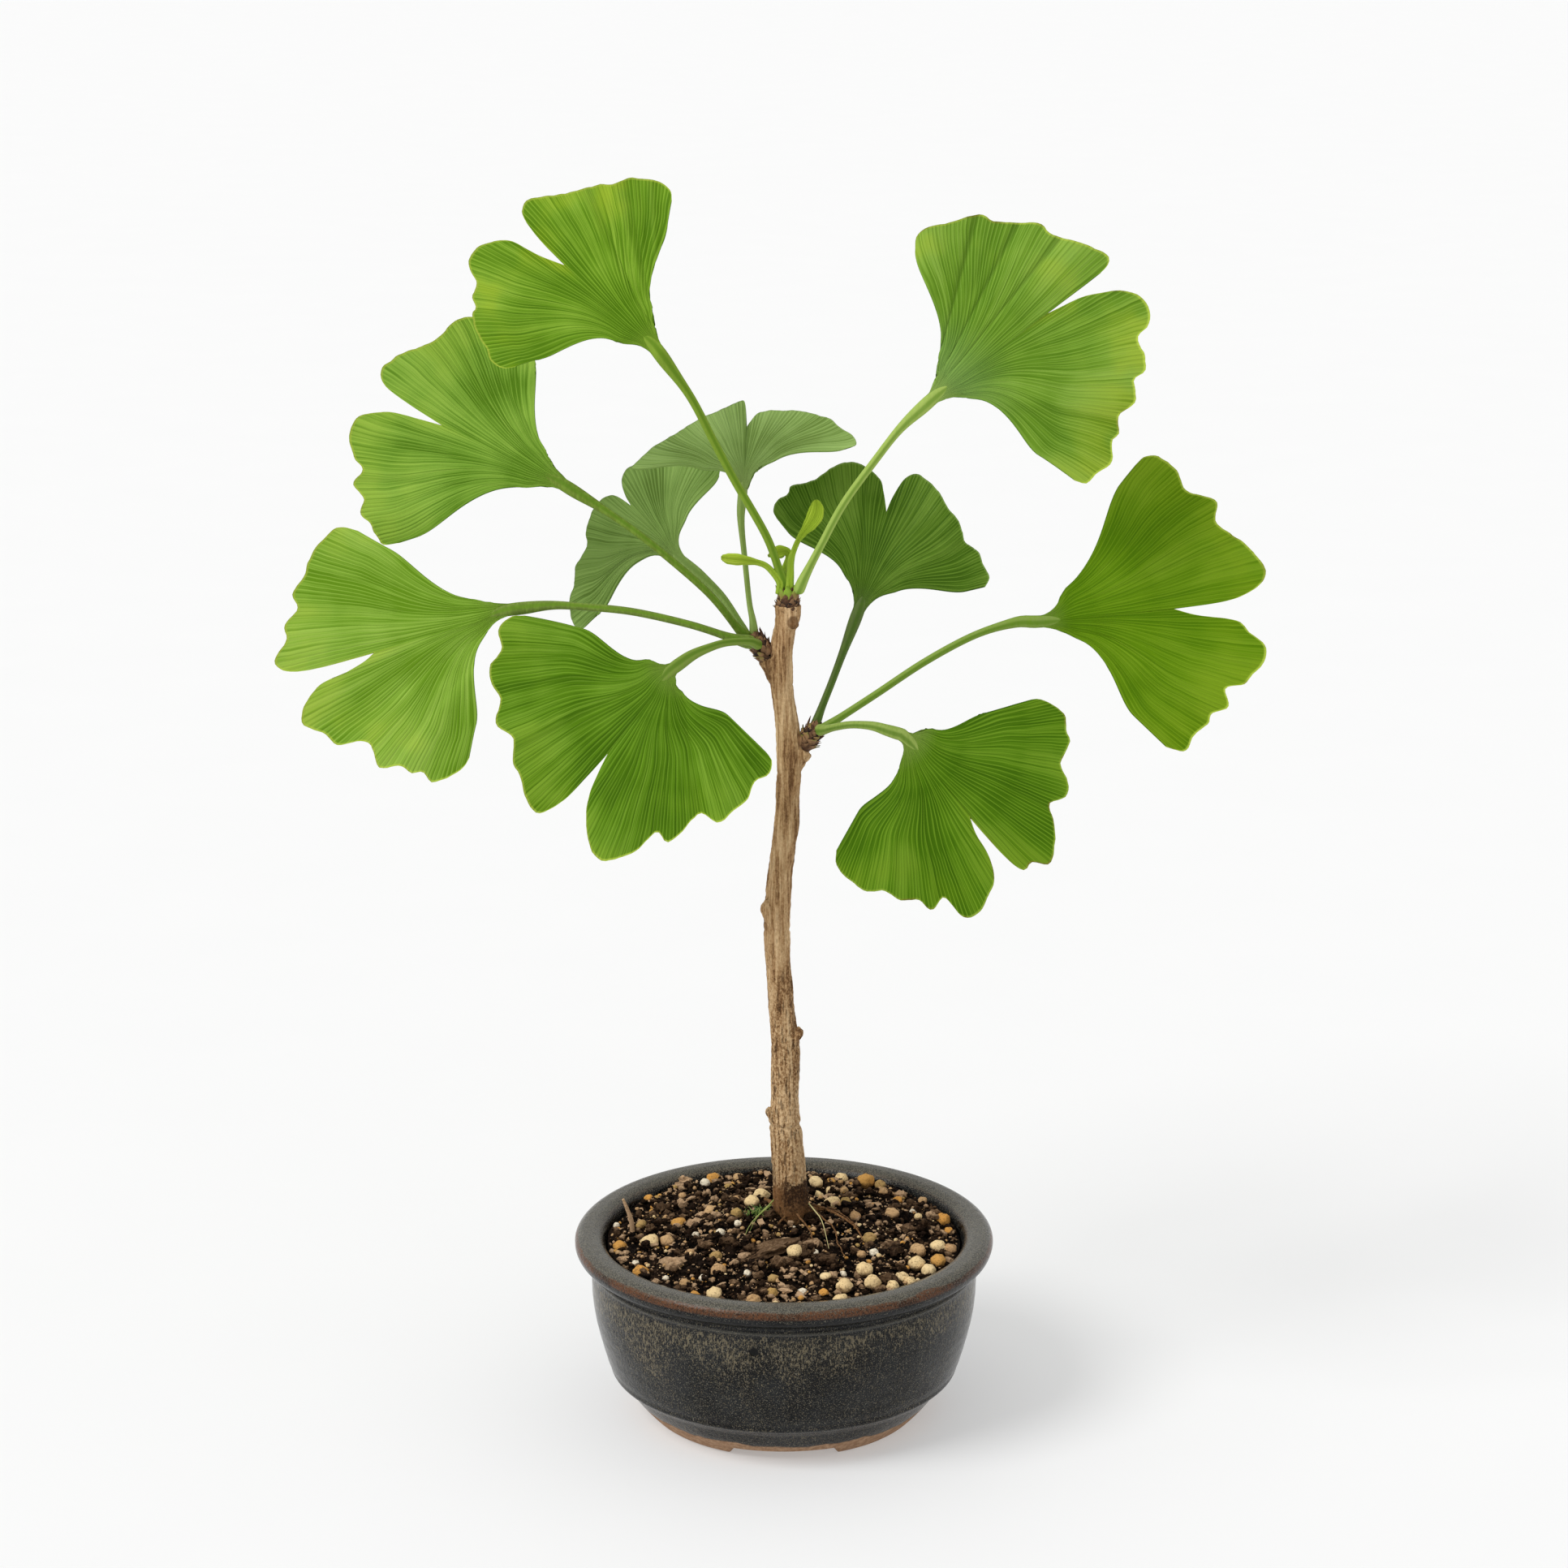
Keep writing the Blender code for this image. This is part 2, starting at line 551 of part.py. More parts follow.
def rim_points(leaf, rays):
    """Sample the rim at rays + 1 points, with the notch on the middle one."""
    middle = next(i for i, (angle, _) in enumerate(leaf.rim) if angle == 0)
    flat = [(radius * math.cos(math.radians(angle)), radius * math.sin(math.radians(angle)), 0)
            for angle, radius in leaf.rim]
    first = catmull_rom(flat[:middle + 1], rays // 2)
    second = catmull_rom(flat[middle:], rays // 2)
    return first + second[1:]


def relief(leaf, radius, angle, along):
    """Give how far a blade stands out of its plane, in millimetres."""
    ahead = radius * math.cos(angle) / 40
    across = radius * math.sin(angle) / 40
    rise = leaf.lean * ahead + leaf.bow * ahead ** 2 + leaf.side * across + leaf.cup * across ** 2
    crease = leaf.fold * along * math.exp(-(angle / CREASE_WIDTH) ** 2)
    return rise - crease + leaf.pleat * along ** 1.5 * math.sin(leaf.pleats * angle + leaf.heading)


def blade_point(leaf, rim_point, along):
    """Place one point of the blade: along runs from 0 near the base to 1 at the rim."""
    reach = BLADE_ROOT + (rim_point.length - BLADE_ROOT) * along
    full_angle = math.atan2(rim_point.y, rim_point.x)
    corner = leaf.rim[0] if full_angle * leaf.rim[0][0] > 0 else leaf.rim[-1]
    edge = leaf.edges[0] if corner is leaf.rim[0] else leaf.edges[1]
    angle = full_angle * edge_share(edge, along)
    turned = math.radians(leaf.heading) + angle
    up = Vector((0, math.sin(LEAF_PLANE_LEAN), math.cos(LEAF_PLANE_LEAN)))
    flat = Vector(leaf.base) + Vector((1, 0, 0)) * reach * math.cos(turned) + up * reach * math.sin(turned)
    towards = (LIGHT_SIDE - flat).normalized()
    return flat + towards * relief(leaf, reach, angle, along)


def strip_faces(inner, inner_rays, outer, outer_rays):
    """Give the triangles between two rows of a fan, the outer with as many rays or twice as many."""
    faces = []
    for ray in range(inner_rays):
        near, next_near = inner + ray, inner + ray + 1
        if outer_rays == inner_rays:
            far, next_far = outer + ray, outer + ray + 1
            faces += [(near, far, next_far), (near, next_far, next_near)]
            continue
        far = outer + 2 * ray
        faces += [(near, far, far + 1), (near, far + 1, next_near), (next_near, far + 1, far + 2)]
    return faces


def blade(leaf, group):
    """Make a leaf's blade: an open fan of triangles with Solidify for its thickness."""
    points, faces = [], []
    before = None
    most = FAN_ROWS[-1][1]
    rim = rim_points(leaf, most)
    for along, rays in FAN_ROWS:
        first = len(points)
        points += [blade_point(leaf, rim[ray * most // rays], along) for ray in range(rays + 1)]
        if before:
            faces += strip_faces(*before, first, rays)
        before = (first, rays)
    thing = mesh_object(leaf.name, points, faces, group)
    modifier = thing.modifiers.new("thickness", "SOLIDIFY")
    modifier.thickness = BLADE_THICKNESS * MM
    modifier.offset = 0.0
    apply_modifier(thing, modifier)
    edit_mesh(thing, face_outward)
    return thing


def petiole_stem(leaf):
    """Give a petiole's path, from its foot through the blade's base and a little into the blade."""
    reach, tip_radius = PETIOLE_TIP
    middle = next(Vector((radius, 0, 0)) for angle, radius in leaf.rim if angle == 0)
    foot, top = leaf.petiole_radii
    taper = [top + (foot - top) * 0.4 / (index + 1) for index in range(len(leaf.petiole))]
    stem = smooth_stem(Stem([*leaf.petiole, Vector(leaf.base)], [foot, *taper]), PETIOLE_RINGS)
    return Stem([*stem.path, blade_point(leaf, middle, reach)], [*stem.radii, tip_radius])


def make_leaf(leaf, group):
    """Make one leaf: its blade and its petiole in one body."""
    thing = blade(leaf, group)
    parts = working_group(leaf.name + "_petiole")
    tube(leaf.name + "_petiole", petiole_stem(leaf), parts)
    combine(thing, parts, "UNION")
    finish(thing, make_material(leaf.name, leaf.colour, 0.45), group)
    return thing


def young_stalk(young):
    """Give a young leaf's stalk, from its foot to the middle of its small blade."""
    foot, top = young.radii
    path = [*young.stalk, young.middle]
    return smooth_stem(Stem(path, [foot, *[top] * len(young.stalk)]), YOUNG_RINGS)


def make_young_leaf(young, group):
    """Make one young leaf: a thin stalk and a small thick blade in one body."""
    thing = ellipsoid(young.name, young.middle, young.axes, turn_to(young.growth), group)
    parts = working_group(young.name + "_stalk")
    tube(young.name + "_stalk", young_stalk(young), parts)
    combine(thing, parts, "UNION")
    finish(thing, make_material(young.name, YELLOW_GREEN, 0.45), group)
    return thing


def bud_scale(name, spot, outward, growth, size, group):
    """Add one pointed bud scale, pressed against a spur."""
    lift = (growth * 0.86 + outward * 0.5).normalized()
    side = growth.cross(outward).normalized()
    face = lift.cross(side).normalized()
    turn = Matrix((side, face, lift)).transposed()
    axes = [size * share for share in SCALE_FORM]
    return ellipsoid(name, spot, axes, turn, group, divisions=1)


def make_spur(spur, group, rng):
    """Make one spur: a knob with a neck and bud scales, clear of the trunk and of every stalk."""
    growth = Vector(spur.growth).normalized()
    centre = Vector(spur.middle)
    thing = ellipsoid(spur.name, centre, [spur.radius] * 3, turn_to(growth), group)
    stalks = stalk_feet(spur.stalks)
    parts = working_group(spur.name + "_parts")
    neck = Stem([Vector(spur.seat), centre], [spur.radius * 0.8, spur.radius * 0.85])
    tube(spur.name + "_neck", neck, parts)
    add_scales(spur, stalks, parts, rng)
    combine(thing, parts, "UNION")
    holes = working_group(spur.name + "_clearance")
    for stem in [TRUNK, *SHOULDERS.values()]:
        hide_cutter(tube(spur.name + "_seat", lengthened(stem), holes, extra=GAP, resolution=4))
    for stem in stalks:
        hide_cutter(tube(spur.name + "_stalk", stem, holes, extra=GAP))
    combine(thing, holes, "DIFFERENCE")
    edit_mesh(thing, keep_largest)
    finish(thing, make_material(spur.name, SCALE_BROWN, 0.8), group)
    return thing


def add_scales(spur, stalks, group, rng):
    """Set bud scales in a spiral round a spur, where no stalk stands."""
    growth = Vector(spur.growth).normalized()
    first = growth.orthogonal().normalized()
    second = growth.cross(first)
    for index in range(spur.scales):
        turn = index * SPIRAL_STEP + rng.uniform(-0.2, 0.2)
        outward = first * math.cos(turn) + second * math.sin(turn)
        height = 0.8 * index / spur.scales - 0.7
        spot = Vector(spur.middle) + (outward * 0.9 + growth * height) * spur.radius
        size = rng.uniform(*SCALE_SIZES)
        if all((Vector(stalk.path[0]) - spot).length > SCALE_CLEARANCE for stalk in stalks):
            bud_scale(f"{spur.name}_scale_{index}", spot, outward, growth, size, group)


def keep_largest(shape):
    """Keep a mesh's largest body and drop the chips that a cut has freed."""
    bodies = []
    left = set(shape.verts)
    while left:
        body = {left.pop()}
        edge_of_body = list(body)
        while edge_of_body:
            corner = edge_of_body.pop()
            near = {edge.other_vert(corner) for edge in corner.link_edges} - body
            body |= near
            edge_of_body += near
        left -= body
        bodies.append(body)
    bodies.sort(key=len)
    chips = [corner for body in bodies[:-1] for corner in body]
    bmesh.ops.delete(shape, geom=chips, context="VERTS")


def lengthened(stem):
    """Lengthen a stem past its end by the gap."""
    end, before = Vector(stem.path[-1]), Vector(stem.path[-2])
    return Stem([*stem.path[:-1], end + (end - before).normalized() * GAP], stem.radii)


def trunk_parts(group, extra):
    """Make the trunk's tubes in a collection, widened by extra."""
    for side, stem in SHOULDERS.items():
        tube("shoulder_" + side, stem, group, extra, resolution=4)
    for index, stem in enumerate(TRUNK_BUDS):
        tube(f"bud_{index}", stem, group, extra)
    for index, stem in enumerate(ROOTS):
        tube(f"root_{index}", smooth_stem(stem, 6), group, extra)


def make_trunk(group):
    """Make the woody trunk with its shoulders, buds and surface roots in one body."""
    thing = tube("trunk", TRUNK, group, resolution=4)
    parts = working_group("trunk_parts")
    trunk_parts(parts, 0.0)
    combine(thing, parts, "UNION")
    finish(thing, make_material("trunk", BARK, 0.8), group)
    return thing


def pot_inside():
    """Give the pot's inner wall, as (radius, height) from the rim down to the floor's edge."""
    return [(45.2, RIM_TOP - 0.4), (44.3, RIM_TOP - 1.4), (43.6, SOIL_EDGE_HEIGHT), (43.2, 38.0),
            (42.2, 26.0), (39.4, 14.0), (35.2, FLOOR_TOP + 1.2), (33.0, FLOOR_TOP)]


def pot_outside():
    """Give the pot's outer wall, as (radius, height) from the rim down to the underside."""
    rim = [(46.8, RIM_TOP), (49.2, RIM_TOP - 0.1), (50.6, RIM_TOP - 1.0), (RIM_RADIUS, RIM_TOP - 2.5),
           (50.6, RIM_TOP - 4.2), (49.2, RIM_TOP - 5.4), (47.4, RIM_TOP - 6.2)]
    body = [(BODY_RADIUS, 38.8), (47.4, 37.9), (BODY_RADIUS, 37.0), (47.1, 33.0), (46.9, 29.0), (46.2, 24.2),
            (44.9, 18.8), (43.4, 14.2), (42.0, 10.8), (41.2, 9.4)]
    foot = [(39.6, 8.6), (38.8, 7.4), (37.6, 5.6), (36.0, 3.6), (34.4, 1.8), (33.2, 0.6), (FOOT_RADIUS, 0.0)]
    return rim + body + foot + [(FOOT_INSIDE, 0.0), (FOOT_INSIDE - 0.9, UNDERSIDE)]


def make_pot(group):
    """Make the pot: a turned bowl with a flared rim, a ridge, a drain hole and four low feet."""
    drain = [(DRAIN_RADIUS, UNDERSIDE), (DRAIN_RADIUS, FLOOR_TOP)]
    profile = pot_outside() + drain + list(reversed(pot_inside()))
    thing = lathe("pot", profile + profile[:1], POT_STEPS, group)
    gaps = working_group("foot_gaps")
    for quarter in range(4):
        hide_cutter(foot_gap(f"foot_gap_{quarter}", math.radians(90 * quarter), gaps))
    combine(thing, gaps, "DIFFERENCE")
    finish(thing, make_material("pot", GLAZE, 0.25), group)
    return thing


def foot_gap(name, middle, group):
    """Make a wedge that clears one gap between two feet."""
    half = math.radians(FOOT_GAP_ANGLE / 2)
    near, far = FOOT_GAP_REACH
    low, high = -1.0, FOOT_HEIGHT
    ring = [(reach * math.cos(turn), reach * math.sin(turn))
            for reach, turn in ((near, middle - half), (far, middle - half), (far, middle + half),
                                (near, middle + half))]
    points = [(x, y, low) for x, y in ring] + [(x, y, high) for x, y in ring]
    faces = [(3, 2, 1, 0), (4, 5, 6, 7), (0, 1, 5, 4), (1, 2, 6, 5), (2, 3, 7, 6), (3, 0, 4, 7)]
    return mesh_object(name, points, faces, group)


def soil_height(radius):
    """Give the height of the mounded soil at a radius."""
    share = min(1.0, radius / SOIL_EDGE_RADIUS)
    return SOIL_EDGE_HEIGHT + (SOIL_TOP - SOIL_EDGE_HEIGHT) * (1 - share ** 1.6)


def make_soil(group, rng):
    """Make the mound of soil with its granules, holed for the trunk and its roots."""
    side = [(radius - GAP, height + GAP) for radius, height in pot_inside()[3:]]
    top = [(radius, soil_height(radius)) for radius in (6.0, 16.0, 26.0, 35.0, SOIL_EDGE_RADIUS)]
    profile = [(0.0, SOIL_TOP)] + top + side + [(0.0, FLOOR_TOP + GAP)]
    thing = lathe("soil", profile, SOIL_STEPS, group)
    lumps = working_group("granules")
    near, far = GRANULE_RING
    for index in range(GRANULES):
        radius = near + (far - near) * math.sqrt((index + 0.5) / GRANULES)
        turn = index * SPIRAL_STEP + rng.uniform(-0.25, 0.25)
        size = rng.uniform(*GRANULE_SIZES)
        spot = (radius * math.cos(turn), radius * math.sin(turn), soil_height(radius) + size * 0.1)
        axes = (size, size * rng.uniform(0.75, 1.0), size * rng.uniform(0.6, 0.85))
        ellipsoid(f"granule_{index}", spot, axes, Matrix.Rotation(turn * 3, 3, "Z"), lumps, divisions=1)
    combine(thing, lumps, "UNION")
    holes = working_group("stem_holes")
    tube("trunk_hole", Stem(TRUNK.path[:5], TRUNK.radii[:5]), holes, extra=GAP, resolution=4)
    trunk_parts(holes, GAP)
    combine(thing, holes, "DIFFERENCE")
    finish(thing, make_material("soil", EARTH, 0.95), group)
    return thing


def stalk_feet(names):
    """Give the lowest stretch of each named leaf's stalk, lengthened down by the gap."""
    stems = [petiole_stem(leaf) for leaf in LEAVES if leaf.name in names]
    stems += [young_stalk(young) for young in YOUNG_LEAVES if young.name in names]
    feet = []
    for stem in stems:
        start, following = stem.path[:2]
        below = start + (start - following).normalized() * GAP
        feet.append(Stem([below, *stem.path[1:4]], stem.radii[:4]))
    return feet


def main():
    """Build every node of the bonsai."""
    clear_scene()
    rng = random.Random(SEED)
    group = new_collection("ginkgo_bonsai")
    make_pot(group)
    make_soil(group, rng)
    make_trunk(group)
    for spur in SPURS:
        make_spur(spur, group, rng)
    for leaf in LEAVES:
        make_leaf(leaf, group)
    for young in YOUNG_LEAVES:
        make_young_leaf(young, group)


main()
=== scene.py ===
"""Looks of a ginkgo bonsai in a round glazed pot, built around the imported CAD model.

Every piece is in the frame of the CAD model, which is in metres with +Z up. Lengths in
this script are in millimetres and are turned into metres where a mesh is made.
"""

import logging
import random
from dataclasses import dataclass, field
from enum import Enum
from math import atan2, cos, degrees, exp, hypot, pi, radians, remainder, sin, sqrt

import bmesh
import bpy
from mathutils import Matrix, Vector, noise


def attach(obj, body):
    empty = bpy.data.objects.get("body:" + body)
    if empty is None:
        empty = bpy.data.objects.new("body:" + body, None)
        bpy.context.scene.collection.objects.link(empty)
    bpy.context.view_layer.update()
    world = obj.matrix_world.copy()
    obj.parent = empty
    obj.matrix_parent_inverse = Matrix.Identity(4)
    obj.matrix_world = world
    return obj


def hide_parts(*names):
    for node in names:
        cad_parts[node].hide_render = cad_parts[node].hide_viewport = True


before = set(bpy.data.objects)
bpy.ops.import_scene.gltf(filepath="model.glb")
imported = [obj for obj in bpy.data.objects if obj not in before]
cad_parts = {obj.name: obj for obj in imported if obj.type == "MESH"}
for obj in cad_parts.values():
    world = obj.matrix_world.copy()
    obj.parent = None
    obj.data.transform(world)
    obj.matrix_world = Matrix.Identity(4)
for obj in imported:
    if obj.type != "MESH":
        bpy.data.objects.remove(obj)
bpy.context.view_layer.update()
log = logging.getLogger("bonsai")

MM = 0.001
SEED = 4211

# The photograph's camera
IMAGE_SIZE = 1932
CAMERA_PLACE = Vector((0.0, -847.0, 385.2))
CAMERA_PITCH = radians(75)
CAMERA_LENS = 85.0
SENSOR = 36.0

# Blades lie in planes that lean back, with relief towards the light in front of the tree.
LEAF_PLANE_LEAN = radians(15)
LEAF_PLANE_UP = Vector((0, sin(LEAF_PLANE_LEAN), cos(LEAF_PLANE_LEAN)))
LIGHT_SIDE = CAMERA_PLACE

# Pot and soil
RIM_RADIUS = 51.1
FOOT_HEIGHT = 2.8
FOOT_GAP_HALF = radians(22)
SOIL_EDGE_RADIUS = 43.2
SOIL_EDGE_HEIGHT = 43.0
SOIL_TOP = 47.8
TRUNK_FOOT = Vector((1.8, 4.2, 48.0))

Colour = tuple[float, float, float]
Socket = bpy.types.NodeSocket
Value = Socket | float | tuple
Material = bpy.types.Material
Thing = bpy.types.Object


class Slot(Enum):
    """Names of material slots."""

    GLAZE = "glaze"
    SOIL = "soil"
    BARK = "bark"
    SCALES = "bud_scales"
    LEAF = "leaf"
    BRIGHT = "leaf_bright"
    PALE = "leaf_pale"
    DARK = "leaf_dark"


@dataclass
class Stem:
    """A tapered stem: path points with their radii."""

    path: list
    radii: list


class Shape:
    """Points, faces and named per-point values of one piece."""

    def __init__(self) -> None:
        """Start with nothing in it."""
        self.points: list[Vector] = []
        self.faces: list[tuple[int, ...]] = []
        self.values: dict[str, list[float]] = {}

    def add_points(self, points: list[Vector], **values: list[float] | float) -> int:
        """Add points with their values.

        Args:
            points: The places to add.
            values: For each name one number for all points, or a list with one for each.

        Returns:
            The number of the first point added.
        """
        first = len(self.points)
        self.points += points
        for name, given in values.items():
            known = self.values.setdefault(name, [])
            known += [0.0] * (first - len(known))
            known += given if isinstance(given, list) else [given] * len(points)
        return first

    def add_grid(self, first: int, rows: int, width: int, wrap: bool = False, flip: bool = False) -> None:
        """Fill the faces between rows of points that are already added.

        Args:
            first: The number of the first point.
            rows: How many rows there are.
            width: How many points a row has.
            wrap: Whether a row closes on itself.
            flip: Whether the faces turn the other way.
        """
        span = width if wrap else width - 1
        for row in range(rows - 1):
            start = first + row * width
            for i in range(span):
                j = (i + 1) % width
                corners = (start + i, start + j, start + width + j, start + width + i)
                self.faces.append(corners[::-1] if flip else corners)

    def bridge(self, one: list[int], other: list[int]) -> None:
        """Join two rows of points, given by number, with quads."""
        self.faces += zip(one, one[1:], other[1:], other)

    def add_shell(self, one: int, other: int, rows: int, width: int) -> None:
        """Join two equal grids of points into a closed shell.

        Args:
            one: The number of the first point of the front grid.
            other: The number of the first point of the back grid.
            rows: How many rows a grid has.
            width: How many points a row has.
        """
        self.add_grid(one, rows, width)
        self.add_grid(other, rows, width, flip=True)
        last = (rows - 1) * width
        top, sides = range(last, last + width), range(0, last + 1, width)
        self.bridge([other + i for i in top], [one + i for i in top])
        self.bridge([one + i for i in range(width)], [other + i for i in range(width)])
        self.bridge([one + i for i in sides], [other + i for i in sides])
        self.bridge([other + i + width - 1 for i in sides], [one + i + width - 1 for i in sides])

    def build(self, name: str, material: Material | None, flat: bool = False) -> Thing:
        """Turn the shape into an object of the scene.

        Args:
            name: The piece's name.
            material: Its material, if it has one.
            flat: Whether it keeps its faces unsmoothed.

        Returns:
            The new object.
        """
        mesh = bpy.data.meshes.new(name)
        mesh.from_pydata([point * MM for point in self.points], [], self.faces)
        if material:
            mesh.materials.append(material)
        for key, numbers in self.values.items():
            numbers += [0.0] * (len(self.points) - len(numbers))
            mesh.attributes.new(key, "FLOAT", "POINT").data.foreach_set("value", numbers)
        mesh.polygons.foreach_set("use_smooth", [not flat] * len(mesh.polygons))
        mesh.update()
        return add_object(name, mesh)


def install(thing: Thing, slot: Slot, *nodes: str) -> Thing:
    """Make a finished piece ride the frame, hide the CAD nodes that it stands for and log it.

    Args:
        thing: The finished piece.
        slot: A material slot's name; not used.
        nodes: The CAD nodes that it stands for.

    Returns:
        The same piece.
    """
    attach(thing, "root")
    if nodes:
        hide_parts(*nodes)
    thing.data.calc_loop_triangles()
    log.info("%s: %d triangles, replaces %s", thing.name, len(thing.data.loop_triangles), nodes)
    return thing


def add_object(name: str, data: bpy.types.ID) -> Thing:
    """Put a new object in the scene.

    Args:
        name: Its name.
        data: Its mesh, camera or light.

    Returns:
        The object.
    """
    thing = bpy.data.objects.new(name, data)
    bpy.context.scene.collection.objects.link(thing)
    return thing


def smoothstep(low: float, high: float, value: float) -> float:
    """Rise smoothly from 0 at low to 1 at high."""
    t = min(1.0, max(0.0, (value - low) / (high - low)))
    return t * t * (3 - 2 * t)


def catmull_rom(points: list, count: int) -> list[Vector]:
    """Sample a smooth curve through points at count + 1 even steps of length.

    Args:
        points: The points that the curve runs through.
        count: How many steps it gets.

    Returns:
        The sampled points.
    """
    points = [Vector(point) for point in points]
    ends = [2 * points[0] - points[1]] + points + [2 * points[-1] - points[-2]]
    fine = []
    steps = 16
    for index in range(1, len(ends) - 2):
        before, start, end, after = ends[index - 1:index + 3]
        for step in range(steps):
            t = step / steps
            fine.append(0.5 * (2 * start + (end - before) * t
                               + (2 * before - 5 * start + 4 * end - after) * t ** 2
                               + (3 * start - before - 3 * end + after) * t ** 3))
    fine.append(points[-1])
    return even_steps(fine, count)


def even_steps(fine: list[Vector], count: int) -> list[Vector]:
    """Pick count + 1 points at even steps of length along a finely sampled line.

    Args:
        fine: The line's points.
        count: How many steps it gets.

    Returns:
        The picked points.
    """
    reach = [0.0]
    for start, end in zip(fine, fine[1:]):
        reach.append(reach[-1] + (end - start).length)
    picked = []
    index = 1
    for step in range(count + 1):
        length = reach[-1] * step / count
        while index < len(reach) - 1 and reach[index] < length:
            index += 1
        span = reach[index] - reach[index - 1]
        share = (length - reach[index - 1]) / span if span else 0.0
        picked.append(fine[index - 1].lerp(fine[index], min(1.0, max(0.0, share))))
    return picked


def smooth_stem(stem: Stem, count: int) -> Stem:
    """Resample a stem's path and radii evenly along its length.

    Args:
        stem: The stem.
        count: How many steps it gets.

    Returns:
        The resampled stem.
    """
    path = catmull_rom(stem.path, count)
    lengths = [0.0]
    for start, end in zip(stem.path, stem.path[1:]):
        lengths.append(lengths[-1] + (Vector(end) - Vector(start)).length)
    radii = []
    for step in range(count + 1):
        place = lengths[-1] * step / count
        index = max(i for i, length in enumerate(lengths) if length <= place + 1e-9)
        index = min(index, len(lengths) - 2)
        share = (place - lengths[index]) / (lengths[index + 1] - lengths[index])
        share = smoothstep(0.0, 1.0, share)
        radii.append(stem.radii[index] + (stem.radii[index + 1] - stem.radii[index]) * share)
    return Stem(path, radii)


def sweep(shape: Shape, stem: Stem, sides: int, groove: float = 0.0, widths: list[float] | None = None,
          **values: float) -> None:
    """Add a round or grooved tube along a stem, closed at both ends.

    Args:
        shape: The shape that gets the tube.
        stem: The tube's path and radii.
        sides: How many points a ring has.
        groove: The share of the radius that a groove on its front is deep.
        widths: How much wider than deep each ring is, or nothing for round rings.
        values: Values for all its points.
    """
    points, hollow = [], []
    for index, (place, radius) in enumerate(zip(stem.path, stem.radii)):
        ahead = Vector(stem.path[min(index + 1, len(stem.path) - 1)])
        along = (ahead - Vector(stem.path[max(index - 1, 0)])).normalized()
        front = LIGHT_SIDE - Vector(place)
        front = (front - along * front.dot(along)).normalized()
        side = along.cross(front)
        for step in range(sides):
            turn = 2 * pi * step / sides
            dip = exp(-(remainder(turn - 0.25, 2 * pi) / 0.5) ** 2)
            reach = radius * (1 - groove * dip)
            wide = widths[index] if widths else 1.0
            points.append(Vector(place) + (front * cos(turn) + side * sin(turn) * wide) * reach)
            hollow.append(-dip)
    first = shape.add_points(points, pleat=hollow, **values)
    rings = len(stem.path)
    shape.add_grid(first, rings, sides, wrap=True, flip=True)
    last = first + (rings - 1) * sides
    shape.faces.append(tuple(range(first, first + sides)))
    shape.faces.append(tuple(reversed(range(last, last + sides))))


class Lump:
    """A unit ball of triangles that is copied, stretched and roughened into grains."""

    def __init__(self, divisions: int) -> None:
        """Make the ball.

        Args:
            divisions: How finely it is divided, from 1 for 20 triangles.
        """
        ball = bmesh.new()
        bmesh.ops.create_icosphere(ball, subdivisions=divisions, radius=1.0)
        ball.verts.index_update()
        self.points = [corner.co.copy() for corner in ball.verts]
        self.faces = [tuple(corner.index for corner in face.verts) for face in ball.faces]
        ball.free()

    def add_to(self, shape: Shape, place: Vector, axes: Vector, turn: Matrix, rough: float, coarse: float,
               seed: float, **values: float) -> None:
        """Add one grain to a shape.

        Args:
            shape: The shape that gets the grain.
            place: The grain's middle.
            axes: Its three half-axes.
            turn: Its rotation.
            rough: How deep its dents are, as a share of its size.
            coarse: How many dents lie across it.
            seed: A number that makes its dents its own.
            values: Values for all its points.
        """
        shift = Vector((seed, seed * 1.7, seed * 0.6))
        points, levels = [], []
        for point in self.points:
            swell = 1 + rough * noise.noise(point * coarse + shift)
            swell += rough * 0.4 * noise.noise(point * coarse * 2.7 + shift)
            points.append(place + turn @ (point * axes * swell))
            levels.append((turn @ point).z)
        # level, the height of each point within the grain, lets the soil finishes paint the grains darker
        # below as shade.
        first = shape.add_points(points, level=levels, **values)
        for face in self.faces:
            shape.faces.append(tuple(first + corner for corner in face))


